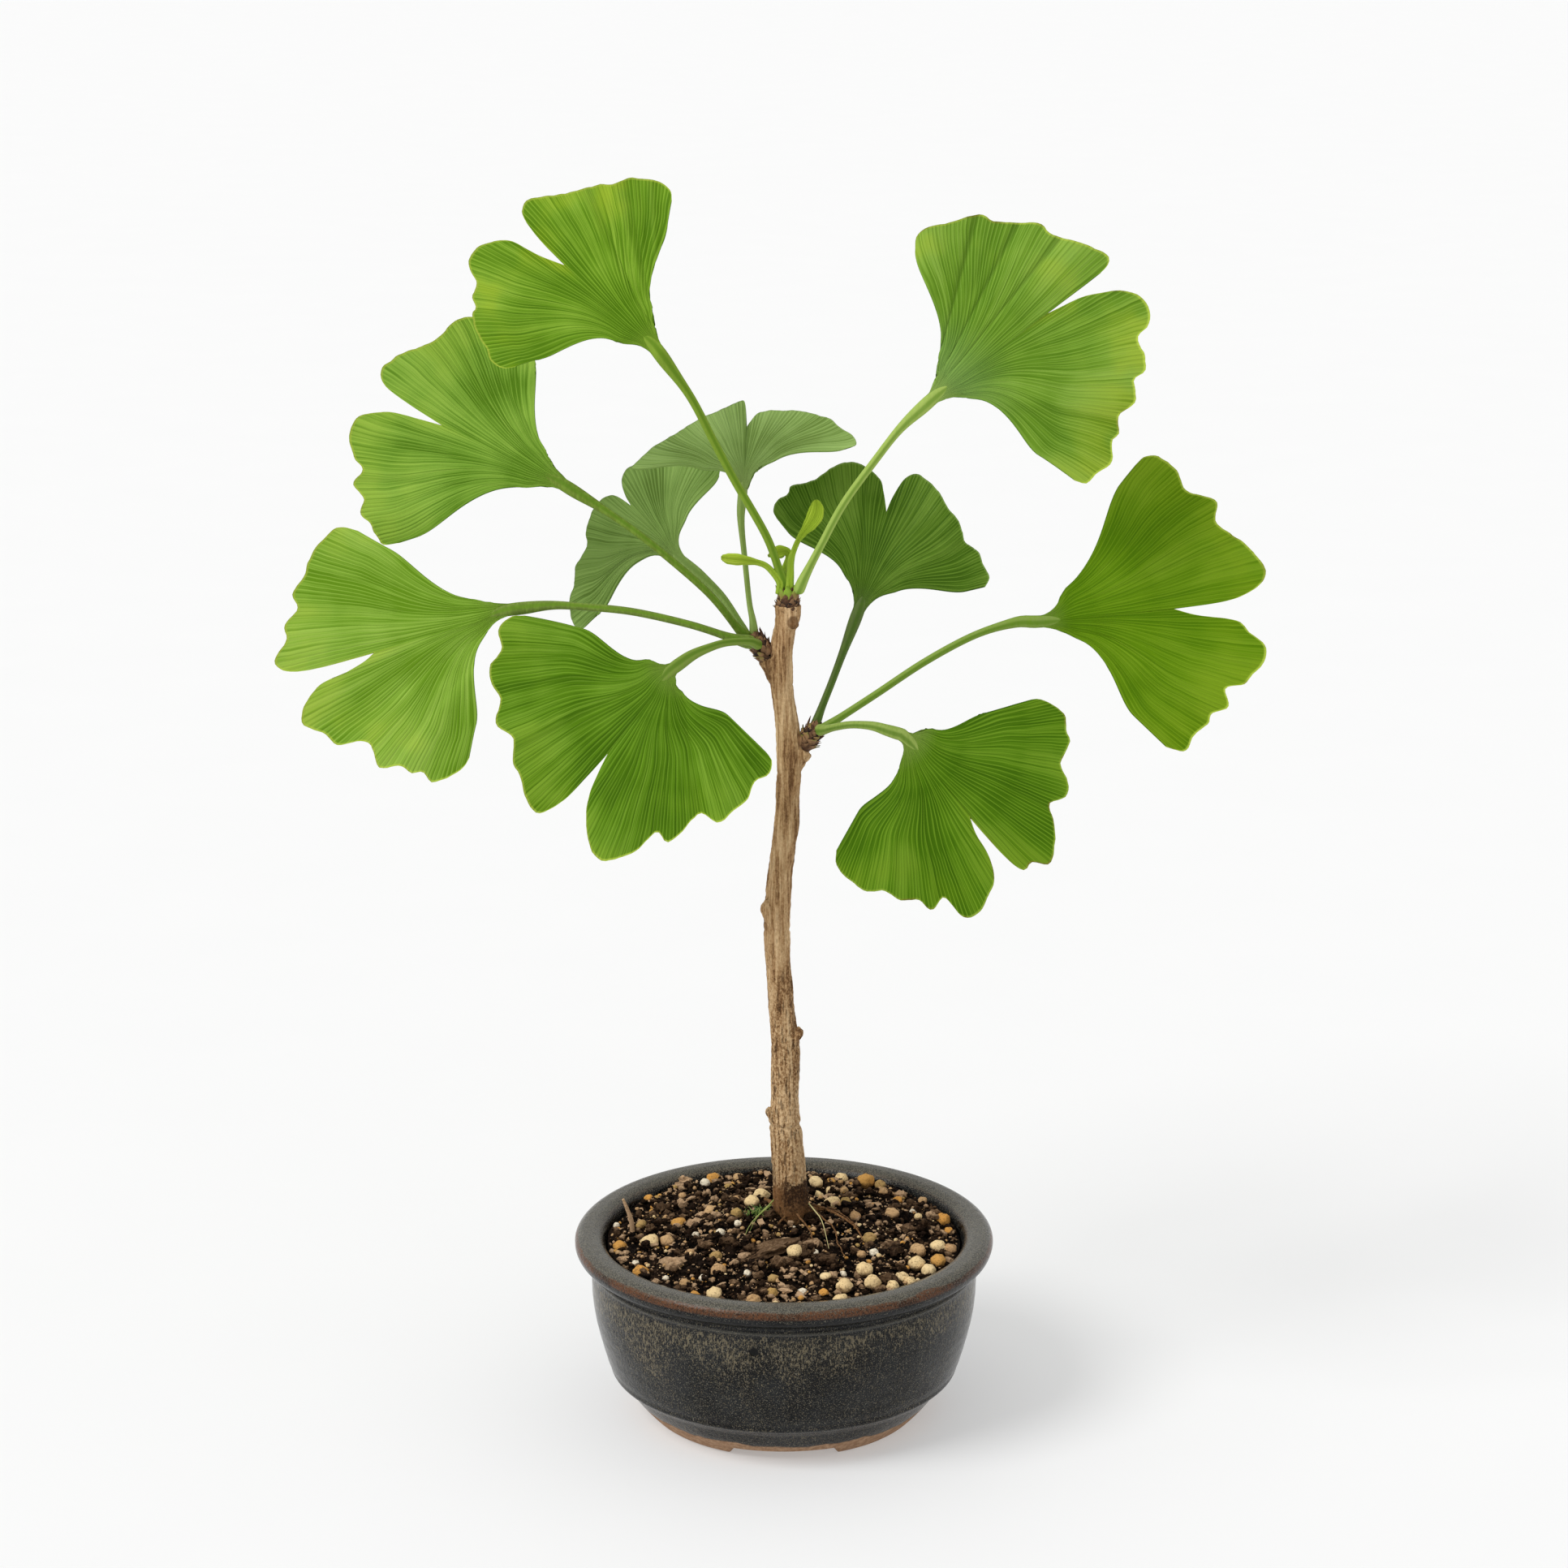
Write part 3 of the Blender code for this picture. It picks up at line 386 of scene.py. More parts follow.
class Finish:
    """A Principled material with helpers that add its pattern nodes."""

    def __init__(self, name: str, **sockets: float) -> None:
        """Make the material.

        Args:
            name: The material's name.
            sockets: Constant values of the shader's sockets, with _ for a space.
        """
        self.material = bpy.data.materials.new(name)
        self.material.use_nodes = True
        self.tree = self.material.node_tree
        self.shader = self.tree.nodes["Principled BSDF"]
        for key, number in sockets.items():
            self.shader.inputs[key.replace("_", " ")].default_value = number

    def feed(self, socket: Socket, given: Value) -> None:
        """Link a socket to another one, or set its value.

        Args:
            socket: The socket that is fed.
            given: Another socket, a number, a vector or a colour.
        """
        if isinstance(given, Socket):
            self.tree.links.new(given, socket)
        elif isinstance(given, tuple) and len(given) == 3 and len(socket.default_value) == 4:
            socket.default_value = (*given, 1.0)
        else:
            socket.default_value = given

    def shade(self, key: str, given: Value) -> None:
        """Feed one socket of the shader."""
        self.feed(self.shader.inputs[key], given)

    def node(self, kind: str, fed: dict[str | int, Value], **settings: str) -> bpy.types.Node:
        """Add a node.

        Args:
            kind: The node's type, without the words that all types start with.
            fed: What its inputs get, by name or number.
            settings: Its other settings.

        Returns:
            The new node.
        """
        node = self.tree.nodes.new("ShaderNode" + kind)
        for key, setting in settings.items():
            setattr(node, key, setting)
        for key, given in fed.items():
            self.feed(node.inputs[key], given)
        return node

    def position(self, stretch: Colour = (1.0, 1.0, 1.0)) -> Socket:
        """Give the place on the object in millimetres, stretched along each axis."""
        fed = {0: self.node("TexCoord", {}).outputs["Object"], 1: tuple(share / MM for share in stretch)}
        return self.node("VectorMath", fed, operation="MULTIPLY").outputs["Vector"]

    def value(self, name: str) -> Socket:
        """Give a named per-point value of the mesh."""
        return self.node("Attribute", {}, attribute_name=name).outputs["Fac"]

    def parts(self, vector: Socket) -> list[Socket]:
        """Give the three numbers of a vector."""
        return list(self.node("SeparateXYZ", {0: vector}).outputs)

    def vector(self, *given: Value) -> Socket:
        """Make a vector of three numbers."""
        return self.node("CombineXYZ", dict(enumerate(given))).outputs[0]

    def noise(self, vector: Socket, scale: float, detail: float = 2.0, rough: float = 0.5) -> Socket:
        """Give a noise value from 0 to 1 at a place."""
        fed = {"Vector": vector, "Scale": scale, "Detail": detail, "Roughness": rough}
        return self.node("TexNoise", fed).outputs["Fac"]

    def cells(self, vector: Socket, scale: float) -> Socket:
        """Give the distance to the nearest of scattered points."""
        return self.node("TexVoronoi", {"Vector": vector, "Scale": scale}).outputs["Distance"]

    def distance(self, vector: Socket, spot: tuple) -> Socket:
        """Give the distance from a place to a fixed spot."""
        return self.node("VectorMath", {0: vector, 1: spot}, operation="DISTANCE").outputs["Value"]

    def calc(self, operation: str, *given: Value) -> Socket:
        """Work out one number from one, two or three."""
        return self.node("Math", dict(enumerate(given)), operation=operation).outputs[0]

    def times(self, one: Value, other: Value) -> Socket:
        """Multiply two numbers."""
        return self.calc("MULTIPLY", one, other)

    def plus(self, one: Value, other: Value) -> Socket:
        """Add two numbers."""
        return self.calc("ADD", one, other)

    def less(self, one: Value, other: Value) -> Socket:
        """Take the second number from the first."""
        return self.calc("SUBTRACT", one, other)

    def total(self, *shares: tuple[Value, float]) -> Socket:
        """Add up values.

        Args:
            shares: Pairs of a value and its weight.

        Returns:
            The weighted sum.
        """
        result: Value = 0.0
        for given, weight in shares:
            result = self.calc("MULTIPLY_ADD", given, weight, result)
        return result

    def rise(self, value: Value, low: float, high: float, start: float = 0.0, end: float = 1.0) -> Socket:
        """Turn a value smoothly into one from start at low to end at high."""
        fed = dict(enumerate((value, low, high, start, end)))
        return self.node("MapRange", fed, interpolation_type="SMOOTHSTEP").outputs["Result"]

    def mix(self, share: Value, one: Value, other: Value, blend: str = "MIX") -> Socket:
        """Mix two colours.

        Args:
            share: How much of the second colour shows, from 0 to 1.
            one: The first colour.
            other: The second colour.
            blend: The way that the colours are blended.

        Returns:
            The mixed colour.
        """
        node = self.node("Mix", {"Factor": share}, data_type="RGBA", blend_type=blend)
        colours = [socket for socket in node.inputs if socket.type == "RGBA"]
        self.feed(colours[0], one)
        self.feed(colours[1], other)
        return next(socket for socket in node.outputs if socket.type == "RGBA")

    def ramp(self, value: Value, *stops: tuple[float, Colour]) -> Socket:
        """Turn a value into a colour.

        Args:
            value: The value.
            stops: Pairs of a value and its colour, from the lowest to the highest.

        Returns:
            The colour.
        """
        node = self.node("ValToRGB", {0: value})
        while len(node.color_ramp.elements) < len(stops):
            node.color_ramp.elements.new(1.0)
        for element, (place, colour) in zip(node.color_ramp.elements, stops):
            element.position = place
            element.color = (*colour, 1.0)
        return node.outputs["Color"]

    def bump(self, height: Socket, depth: float) -> None:
        """Raise the surface by a height value, depth millimetres for a value of 1."""
        node = self.node("Bump", {"Distance": depth * MM, "Height": height})
        self.shade("Normal", node.outputs["Normal"])


@dataclass(frozen=True)
class LeafFinish:
    """Colours of one leaf's blade, petiole and margin."""

    dark: Colour
    middle: Colour
    light: Colour
    petiole: Colour = (0.21, 0.31, 0.045)
    margin: Colour = (0.5, 0.62, 0.08)
    yellow: float = 0.0
    browning: float = 0.0
    bloom: float = 0.0
    # How strongly a painted sheen pales the blade near its base.
    painted_sheen: float = 0.0
    veined: float = 0.42

    def make(self, name: str) -> Material:
        """Make the material from the polar values that the blade's points carry.

        Args:
            name: The material's name.

        Returns:
            The new material.
        """
        made = Finish(name, Specular_IOR_Level=0.05 + 0.25 * self.bloom)
        place = made.position()
        reach = made.value("reach")
        turn = made.calc("MULTIPLY_ADD", made.noise(place, 0.12), 0.015, made.value("across"))
        streak = self.radial(made, turn, reach, 15.0, 0.022, 2.0)
        thread = self.radial(made, turn, reach, 80.0, 0.025, 1.0)
        veins = self.veins(made, turn, reach)
        blade = self.blade(made, streak, thread, veins)
        skin = made.mix(made.value("stalk"), blade, self.stem(made))
        made.shade("Base Color", self.edged(made, skin))
        fine = made.noise(place, 3, 2)
        made.shade("Roughness", made.rise(made.plus(fine, streak), 0.6, 1.4, 0.42, 0.62))
        height = made.total((veins, 0.7), (thread, 1.1), (fine, 0.3))
        flat = made.less(1, made.value("stalk"))
        made.bump(made.times(height, flat), 0.13)
        return made.material

    def radial(self, made: Finish, turn: Value, reach: Value, across: float, along: float,
               detail: float) -> Socket:
        """Give a noise that is stretched along the veins.

        Args:
            made: The material that gets the nodes.
            turn: The angle from the blade's middle line.
            reach: The distance from the blade's base.
            across: How often it changes across the veins.
            along: How often it changes along them.
            detail: How fine it is.

        Returns:
            A value from 0 to 1.
        """
        spot = made.vector(made.times(turn, across), made.times(reach, along), across)
        return made.noise(spot, 1, detail, 0.6)

    def blade(self, made: Finish, streak: Value, thread: Value, veins: Value) -> Socket:
        """Give the blade's colour: cloudy and streaked, with fine pale veins, a golden outer part, painted
        shade in the valleys of pleats and creases, painted highlight on the ridges and a painted sheen near
        the base.

        Args:
            made: The material that gets the nodes.
            streak: A broad noise along the veins.
            thread: A fine one.
            veins: The veins' height.

        Returns:
            The blade's colour.
        """
        cloud = made.noise(made.position(), 0.07, 2)
        along = made.value("along")
        outer = made.rise(along, 0.45, 1)
        # Painted shade and highlight: the pleat value darkens the valleys of the pleats and lightens their
        # crests.
        tone = made.total((streak, 0.3), (cloud, 0.3), (made.value("pleat"), 0.06), (thread, 0.3),
                          (outer, 0.06))
        skin = made.ramp(tone, (0.4, self.dark), (0.48, self.middle), (0.58, self.light))
        skin = made.mix(made.rise(thread, 0.5, 0.3, 0, 0.36), skin, self.dark)
        vein = tuple(share * 1.22 for share in self.light)
        skin = made.mix(made.rise(veins, 0.62, 0.97, 0, self.veined), skin, vein)
        # Painted shade: crease valleys are darkened towards a deeper green.
        deep = tuple(share * 0.62 for share in self.dark)
        skin = made.mix(made.rise(made.value("crease"), 0.15, 0.9, 0, 0.6), skin, deep)
        # Painted highlight: ridges, which are creases with negative depth, are lightened.
        skin = made.mix(made.rise(made.value("crease"), -0.12, -0.7, 0, 0.55), skin, self.light)
        # Painted sheen: a pale grey-green haze over the blade near its base.
        skin = made.mix(made.rise(made.value("reach"), 24, 5, 0, self.painted_sheen), skin, (0.19, 0.32, 0.11))
        golden = made.mix(1, skin, (1.4, 1.1, 0.5), "MULTIPLY")
        sunny = made.times(made.rise(along, 0.62, 1), made.rise(cloud, 0.42, 0.62))
        return made.mix(made.times(sunny, self.yellow), skin, golden)

    def stem(self, made: Finish) -> Socket:
        """Give the petiole's colour: fine lengthwise fibres and painted shade in its groove.

        Args:
            made: The material that gets the nodes.

        Returns:
            The petiole's colour.
        """
        fibres = made.noise(made.position((1, 1, 0.25)), 1.6, 2)
        skin = made.mix(made.rise(fibres, 0.35, 0.7, 0, 0.35), self.petiole, self.light)
        # Painted shade: the groove, where the pleat value is negative, is darkened.
        return made.mix(made.rise(made.value("pleat"), -0.15, -0.9, 0, 0.6), skin, self.dark)

    def edged(self, made: Finish, skin: Value) -> Socket:
        """Give the skin a thin pale rim, brown here and there, and side edges of a dark line, painted shade
        where the margin curls under, and a pale one.

        Args:
            made: The material that gets the nodes.
            skin: The colour so far.

        Returns:
            The colour with its edges.
        """
        spots = made.noise(made.position(), 0.17, 2)
        rust = made.rise(spots, 0.54, 0.66, 0, 0.8 * self.browning)
        rim = made.mix(rust, self.margin, (0.15, 0.075, 0.015))
        side = made.value("side")
        hem = made.times(made.rise(side, 1.1, 0.7, 0, 0.4), made.rise(side, 0.2, 0.45))
        skin = made.mix(hem, skin, self.light)
        # Painted shade: a dark line along the side edges, where the margin curls under.
        skin = made.mix(made.rise(side, 0.3, 0.12, 0, 0.6), skin, self.dark)
        return made.mix(made.rise(made.value("along"), 0.985, 0.996, 0, 0.7), skin, rim)

    def veins(self, made: Finish, turn: Value, reach: Value) -> Socket:
        """Give forking veins: their number doubles twice on the way to the margin.

        Args:
            made: The material that gets the nodes.
            turn: The angle from the blade's middle line.
            reach: The distance from the blade's base.

        Returns:
            The veins' height, from 0 to 1.
        """
        waves = []
        for number in (75.0, 150.0, 300.0):
            wave = made.calc("COSINE", made.times(turn, number))
            waves.append(made.calc("MULTIPLY_ADD", wave, 0.5, 0.5))
        inner = made.rise(reach, 10, 17)
        outer = made.rise(reach, 22, 32)
        first = made.plus(made.times(waves[0], made.less(1, inner)), made.times(waves[1], inner))
        return made.plus(made.times(first, made.less(1, outer)), made.times(waves[2], outer))


# How a blade starts at its petiole: its half width in petiole radii and its first share of the
# opening angle, how far out that width is gone and up to where it holds, and how far out the
# petiole's direction is gone.
ROOT_WIDTH = 1.45
ROOT_OPENING = 0.1
ROOT_FADES, ROOT_HOLDS = 15.0, 3.0
BEND_FADES = 10.0
# The petiole's end in the blade: share of the way to the rim, half depth and half width in petiole radii.
PETIOLE_END = ((0.02, 0.9, 1.66), (0.05, 0.76, 1.6), (0.08, 0.6, 1.45), (0.12, 0.42, 1.15),
               (0.16, 0.28, 0.8), (0.2, 0.15, 0.42))


@dataclass(frozen=True)
class BladePoint:
    """One point of a blade: its place, its vein's angle, its reach, and its pleat and crease."""

    place: Vector
    across: float
    reach: float
    pleat: float
    crease: float


@dataclass
class Leaf:
    """One fan-shaped leaf, laid out as in the CAD source.

    The rim runs from one side corner through the notch at angle 0 to the other, as
    (degrees from the middle line, millimetres from the blade's base). An edge is
    (narrow share, where it widens, where it is wide, wide share) of the corner's angle.
    Creases are (degrees, depth, width in degrees) of sharp valleys in the blade.
    """

    name: str
    base: tuple
    heading: float
    rim: list
    edges: tuple
    petiole: list
    slot: Slot
    finish: LeafFinish
    lean: float = 0.0
    bow: float = 0.0
    cup: float = 0.0
    side: float = 0.0
    fold: float = 0.0
    pleat: float = 0.9
    pleats: float = 9.0
    creases: tuple = ()
    foot: float = 1.25
    foot_reach: float = 4.0
    stalk: float = 0.88
    flare: float = 0.7
    opens: float = 11.0
    turn: float = 0.45
    sunk: float = 1.4
    rays: int = 160
    rows: int = 36
    thickness: float = 0.42

    def edge_share(self, edge: tuple, along: float) -> float:
        """Give the share of the corner's angle that a side edge has at part of its length.

        Args:
            edge: The edge's four numbers.
            along: The part of its length.

        Returns:
            The share of the corner's angle.
        """
        narrow, starts, full, wide = edge
        if along >= full:
            return wide + (1.0 - wide) * (along - full) / max(1e-6, 1.0 - full)
        return narrow + (wide - narrow) * smoothstep(starts, full, along)

    def rim_points(self) -> list[Vector]:
        """Sample the rim with the notch on its middle point, and roughen it with fine teeth.

        Returns:
            The rim's points, laid flat round the blade's base.
        """
        middle = next(i for i, (angle, _) in enumerate(self.rim) if angle == 0)
        flat = [(radius * cos(radians(angle)), radius * sin(radians(angle)), 0)
                for angle, radius in self.rim]
        half = self.rays // 2
        line = catmull_rom(flat[:middle + 1], half) + catmull_rom(flat[middle:], half)[1:]
        for index, point in enumerate(line):
            from_notch = smoothstep(2, 14, abs(index - half))
            wave = noise.noise(point * 0.5 + Vector((0, 0, self.heading))) * 0.26
            wave += noise.noise(point * 1.3 + Vector((0, 0, self.heading))) * 0.08
            point *= 1 + wave * from_notch / point.length
        return line

    def relief(self, radius: float, angle: float, along: float) -> tuple[float, float, float]:
        """Give how far a point stands out of the blade's plane, and its share of pleats and creases.

        Args:
            radius: The distance from the blade's base.
            angle: The angle from its middle line.
            along: The share of the way to the rim.

        Returns:
            The height over the plane, the pleat and the crease.
        """
        ahead = radius * cos(angle) / 40
        across = radius * sin(angle) / 40
        rise = self.lean * ahead + self.bow * ahead ** 2 + self.side * across + self.cup * across ** 2
        fold = self.fold * along * exp(-(angle / 0.22) ** 2)
        wave = sin(self.pleats * angle + self.heading)
        small = 0.18 * sin(2.7 * self.pleats * angle + 1.3 * self.heading)
        pleat = self.pleat * along ** 1.5 * wave
        valley = 0.0
        for middle, depth, width in self.creases:
            distance = (degrees(angle) - middle) / width
            valley += depth * along ** 0.6 * exp(-distance ** 2)
        shade = wave * min(1.0, self.pleat) * along
        return rise - fold + pleat + small * along ** 1.5 - valley * 0.8, shade, valley

    def bend(self) -> float:
        """Give the angle from the blade's middle line to the petiole's last direction.

        Returns:
            The angle in radians, no larger than turn.
        """
        last = Vector(self.base) - Vector(self.petiole[-1])
        ahead = atan2(last.dot(LEAF_PLANE_UP), last.x)
        turn = remainder(ahead - radians(self.heading), 2 * pi)
        return max(-self.turn, min(self.turn, turn))

    def blade_point(self, rim_point: Vector, along: float) -> BladePoint:
        """Place one point of the blade: it leaves the petiole as wide as that and curves open.

        Args:
            rim_point: The point of the rim that the point's ray runs to.
            along: The share of the way from the petiole to the rim.

        Returns:
            The point with its values.
        """
        reach = 1.0 + (rim_point.length - 1.0) * along
        full_angle = atan2(rim_point.y, rim_point.x)
        first_side = full_angle * self.rim[0][0] > 0
        corner = radians(self.rim[0 if first_side else -1][0])
        angle = full_angle * self.edge_share(self.edges[0 if first_side else 1], along)
        angle *= ROOT_OPENING + (1 - ROOT_OPENING) * smoothstep(0.0, self.opens, reach)
        fading = smoothstep(ROOT_FADES, ROOT_HOLDS, reach)
        offset = ROOT_WIDTH * self.stalk * full_angle / abs(corner) * fading
        turned = radians(self.heading) + self.bend() * smoothstep(BEND_FADES, 0.0, reach)
        ahead, aside = reach * cos(angle), reach * sin(angle) + offset
        flat = Vector(self.base) + Vector((1, 0, 0)) * (ahead * cos(turned) - aside * sin(turned))
        flat += LEAF_PLANE_UP * (ahead * sin(turned) + aside * cos(turned))
        rise, pleat, crease = self.relief(reach, angle, along)
        place = flat + (LIGHT_SIDE - flat).normalized() * rise
        return BladePoint(place, full_angle, reach, pleat, crease)

    def thickness_at(self, along: float, from_side: float) -> float:
        """Give the blade's thickness: thin at the rim, ribbed along its two side edges.

        Args:
            along: The share of the way to the rim.
            from_side: The distance from the nearer side edge.

        Returns:
            The thickness.
        """
        plain = self.thickness * (1 - 0.45 * smoothstep(0.9, 1.0, along))
        rib = 0.35 * (1 - along) ** 2 * exp(-(from_side / 0.7) ** 2)
        return plain + rib

    def add_blade(self, shape: Shape) -> None:
        """Add the blade: two skins of a fine grid, joined round the margin.

        Args:
            shape: The shape that gets the blade.
        """
        rim = self.rim_points()
        width = self.rays + 1
        alongs = [1 - (1 - row / self.rows) ** 1.15 for row in range(self.rows + 1)]
        spots = [self.blade_point(point, along) for along in alongs for point in rim]
        middle = [spot.place for spot in spots]
        values = {
            "across": [spot.across for spot in spots],
            "reach": [spot.reach for spot in spots],
            "pleat": [spot.pleat for spot in spots],
            "crease": [spot.crease for spot in spots],
            "stalk": [max(0.0, 1 - spot.reach / 8) * 0.8 for spot in spots],
            "along": [along for along in alongs for _ in rim],
            "side": [9.0] * len(spots)}
        front, back = [], []
        for row, along in enumerate(alongs):
            for ray in range(width):
                index = row * width + ray
                normal = self.normal_at(middle, row, ray, width)
                side = min((middle[index] - middle[row * width]).length,
                           (middle[index] - middle[row * width + width - 1]).length)
                half = self.thickness_at(along, side) / 2
                front.append(middle[index] + normal * half)
                back.append(middle[index] - normal * half)
                values["side"][index] = side + 3.0 * smoothstep(0.12, 0.0, along)
        one = shape.add_points(front, **{key: list(numbers) for key, numbers in values.items()})
        other = shape.add_points(back, **{key: list(numbers) for key, numbers in values.items()})
        shape.add_shell(one, other, len(alongs), width)

    def normal_at(self, points: list[Vector], row: int, ray: int, width: int) -> Vector:
        """Give the blade's normal at a grid point, towards the light side.

        Args:
            points: The grid's points.
            row: The point's row.
            ray: The point's place in its row.
            width: How many points a row has.

        Returns:
            The normal.
        """
        up, down = min(row + 1, self.rows) * width, max(row - 1, 0) * width
        left, right = max(ray - 1, 0), min(ray + 1, width - 1)
        here = row * width
        normal = (points[up + ray] - points[down + ray]).cross(points[here + right] - points[here + left])
        if normal.length < 1e-9:
            return Vector((0, -1, 0))
        normal.normalize()
        return -normal if normal.dot(LIGHT_SIDE - points[here + ray]) < 0 else normal

    def add_petiole(self, shape: Shape) -> None:
        """Add the grooved petiole: a rounded foot on the spur, and a flat top that runs into the blade.

        Args:
            shape: The shape that gets the petiole.
        """
        base = Vector(self.base)
        start, second = Vector(self.petiole[0]), Vector(self.petiole[1])
        sunk = start + (start - second).normalized() * self.sunk
        path = catmull_rom([sunk, *self.petiole, base], 52)
        path[1:1] = [path[0].lerp(path[1], share) for share in (0.06, 0.2, 0.45, 0.7)]
        radii, widths = [], []
        for place in path:
            away = (place - path[0]).length
            radius = self.stalk + (self.foot - self.stalk) * exp(-(away / self.foot_reach) ** 2)
            radii.append(radius * sqrt(max(0.02, 1 - (1 - min(1.0, away / self.foot)) ** 2)))
            widths.append(1 + self.flare * exp(-((place - base).length / 7.0) ** 2))
        middle = next(Vector((radius, 0, 0)) for angle, radius in self.rim if angle == 0)
        for along, deep, wide in PETIOLE_END:
            path.append(self.blade_point(middle, along).place)
            radii.append(self.stalk * deep)
            widths.append(wide / deep)
        sweep(shape, Stem(path, radii), 20, groove=0.18, widths=widths, stalk=1.0, across=0.0, reach=0.0,
              along=0.0, side=9.0, crease=0.0)

    def make(self) -> Thing:
        """Make the leaf's piece in place of its CAD node.

        Returns:
            The leaf's piece.
        """
        shape = Shape()
        self.add_blade(shape)
        self.add_petiole(shape)
        thing = shape.build(self.name + "_fine", self.finish.make(self.name + "_skin"))
        return install(thing, self.slot, self.name)


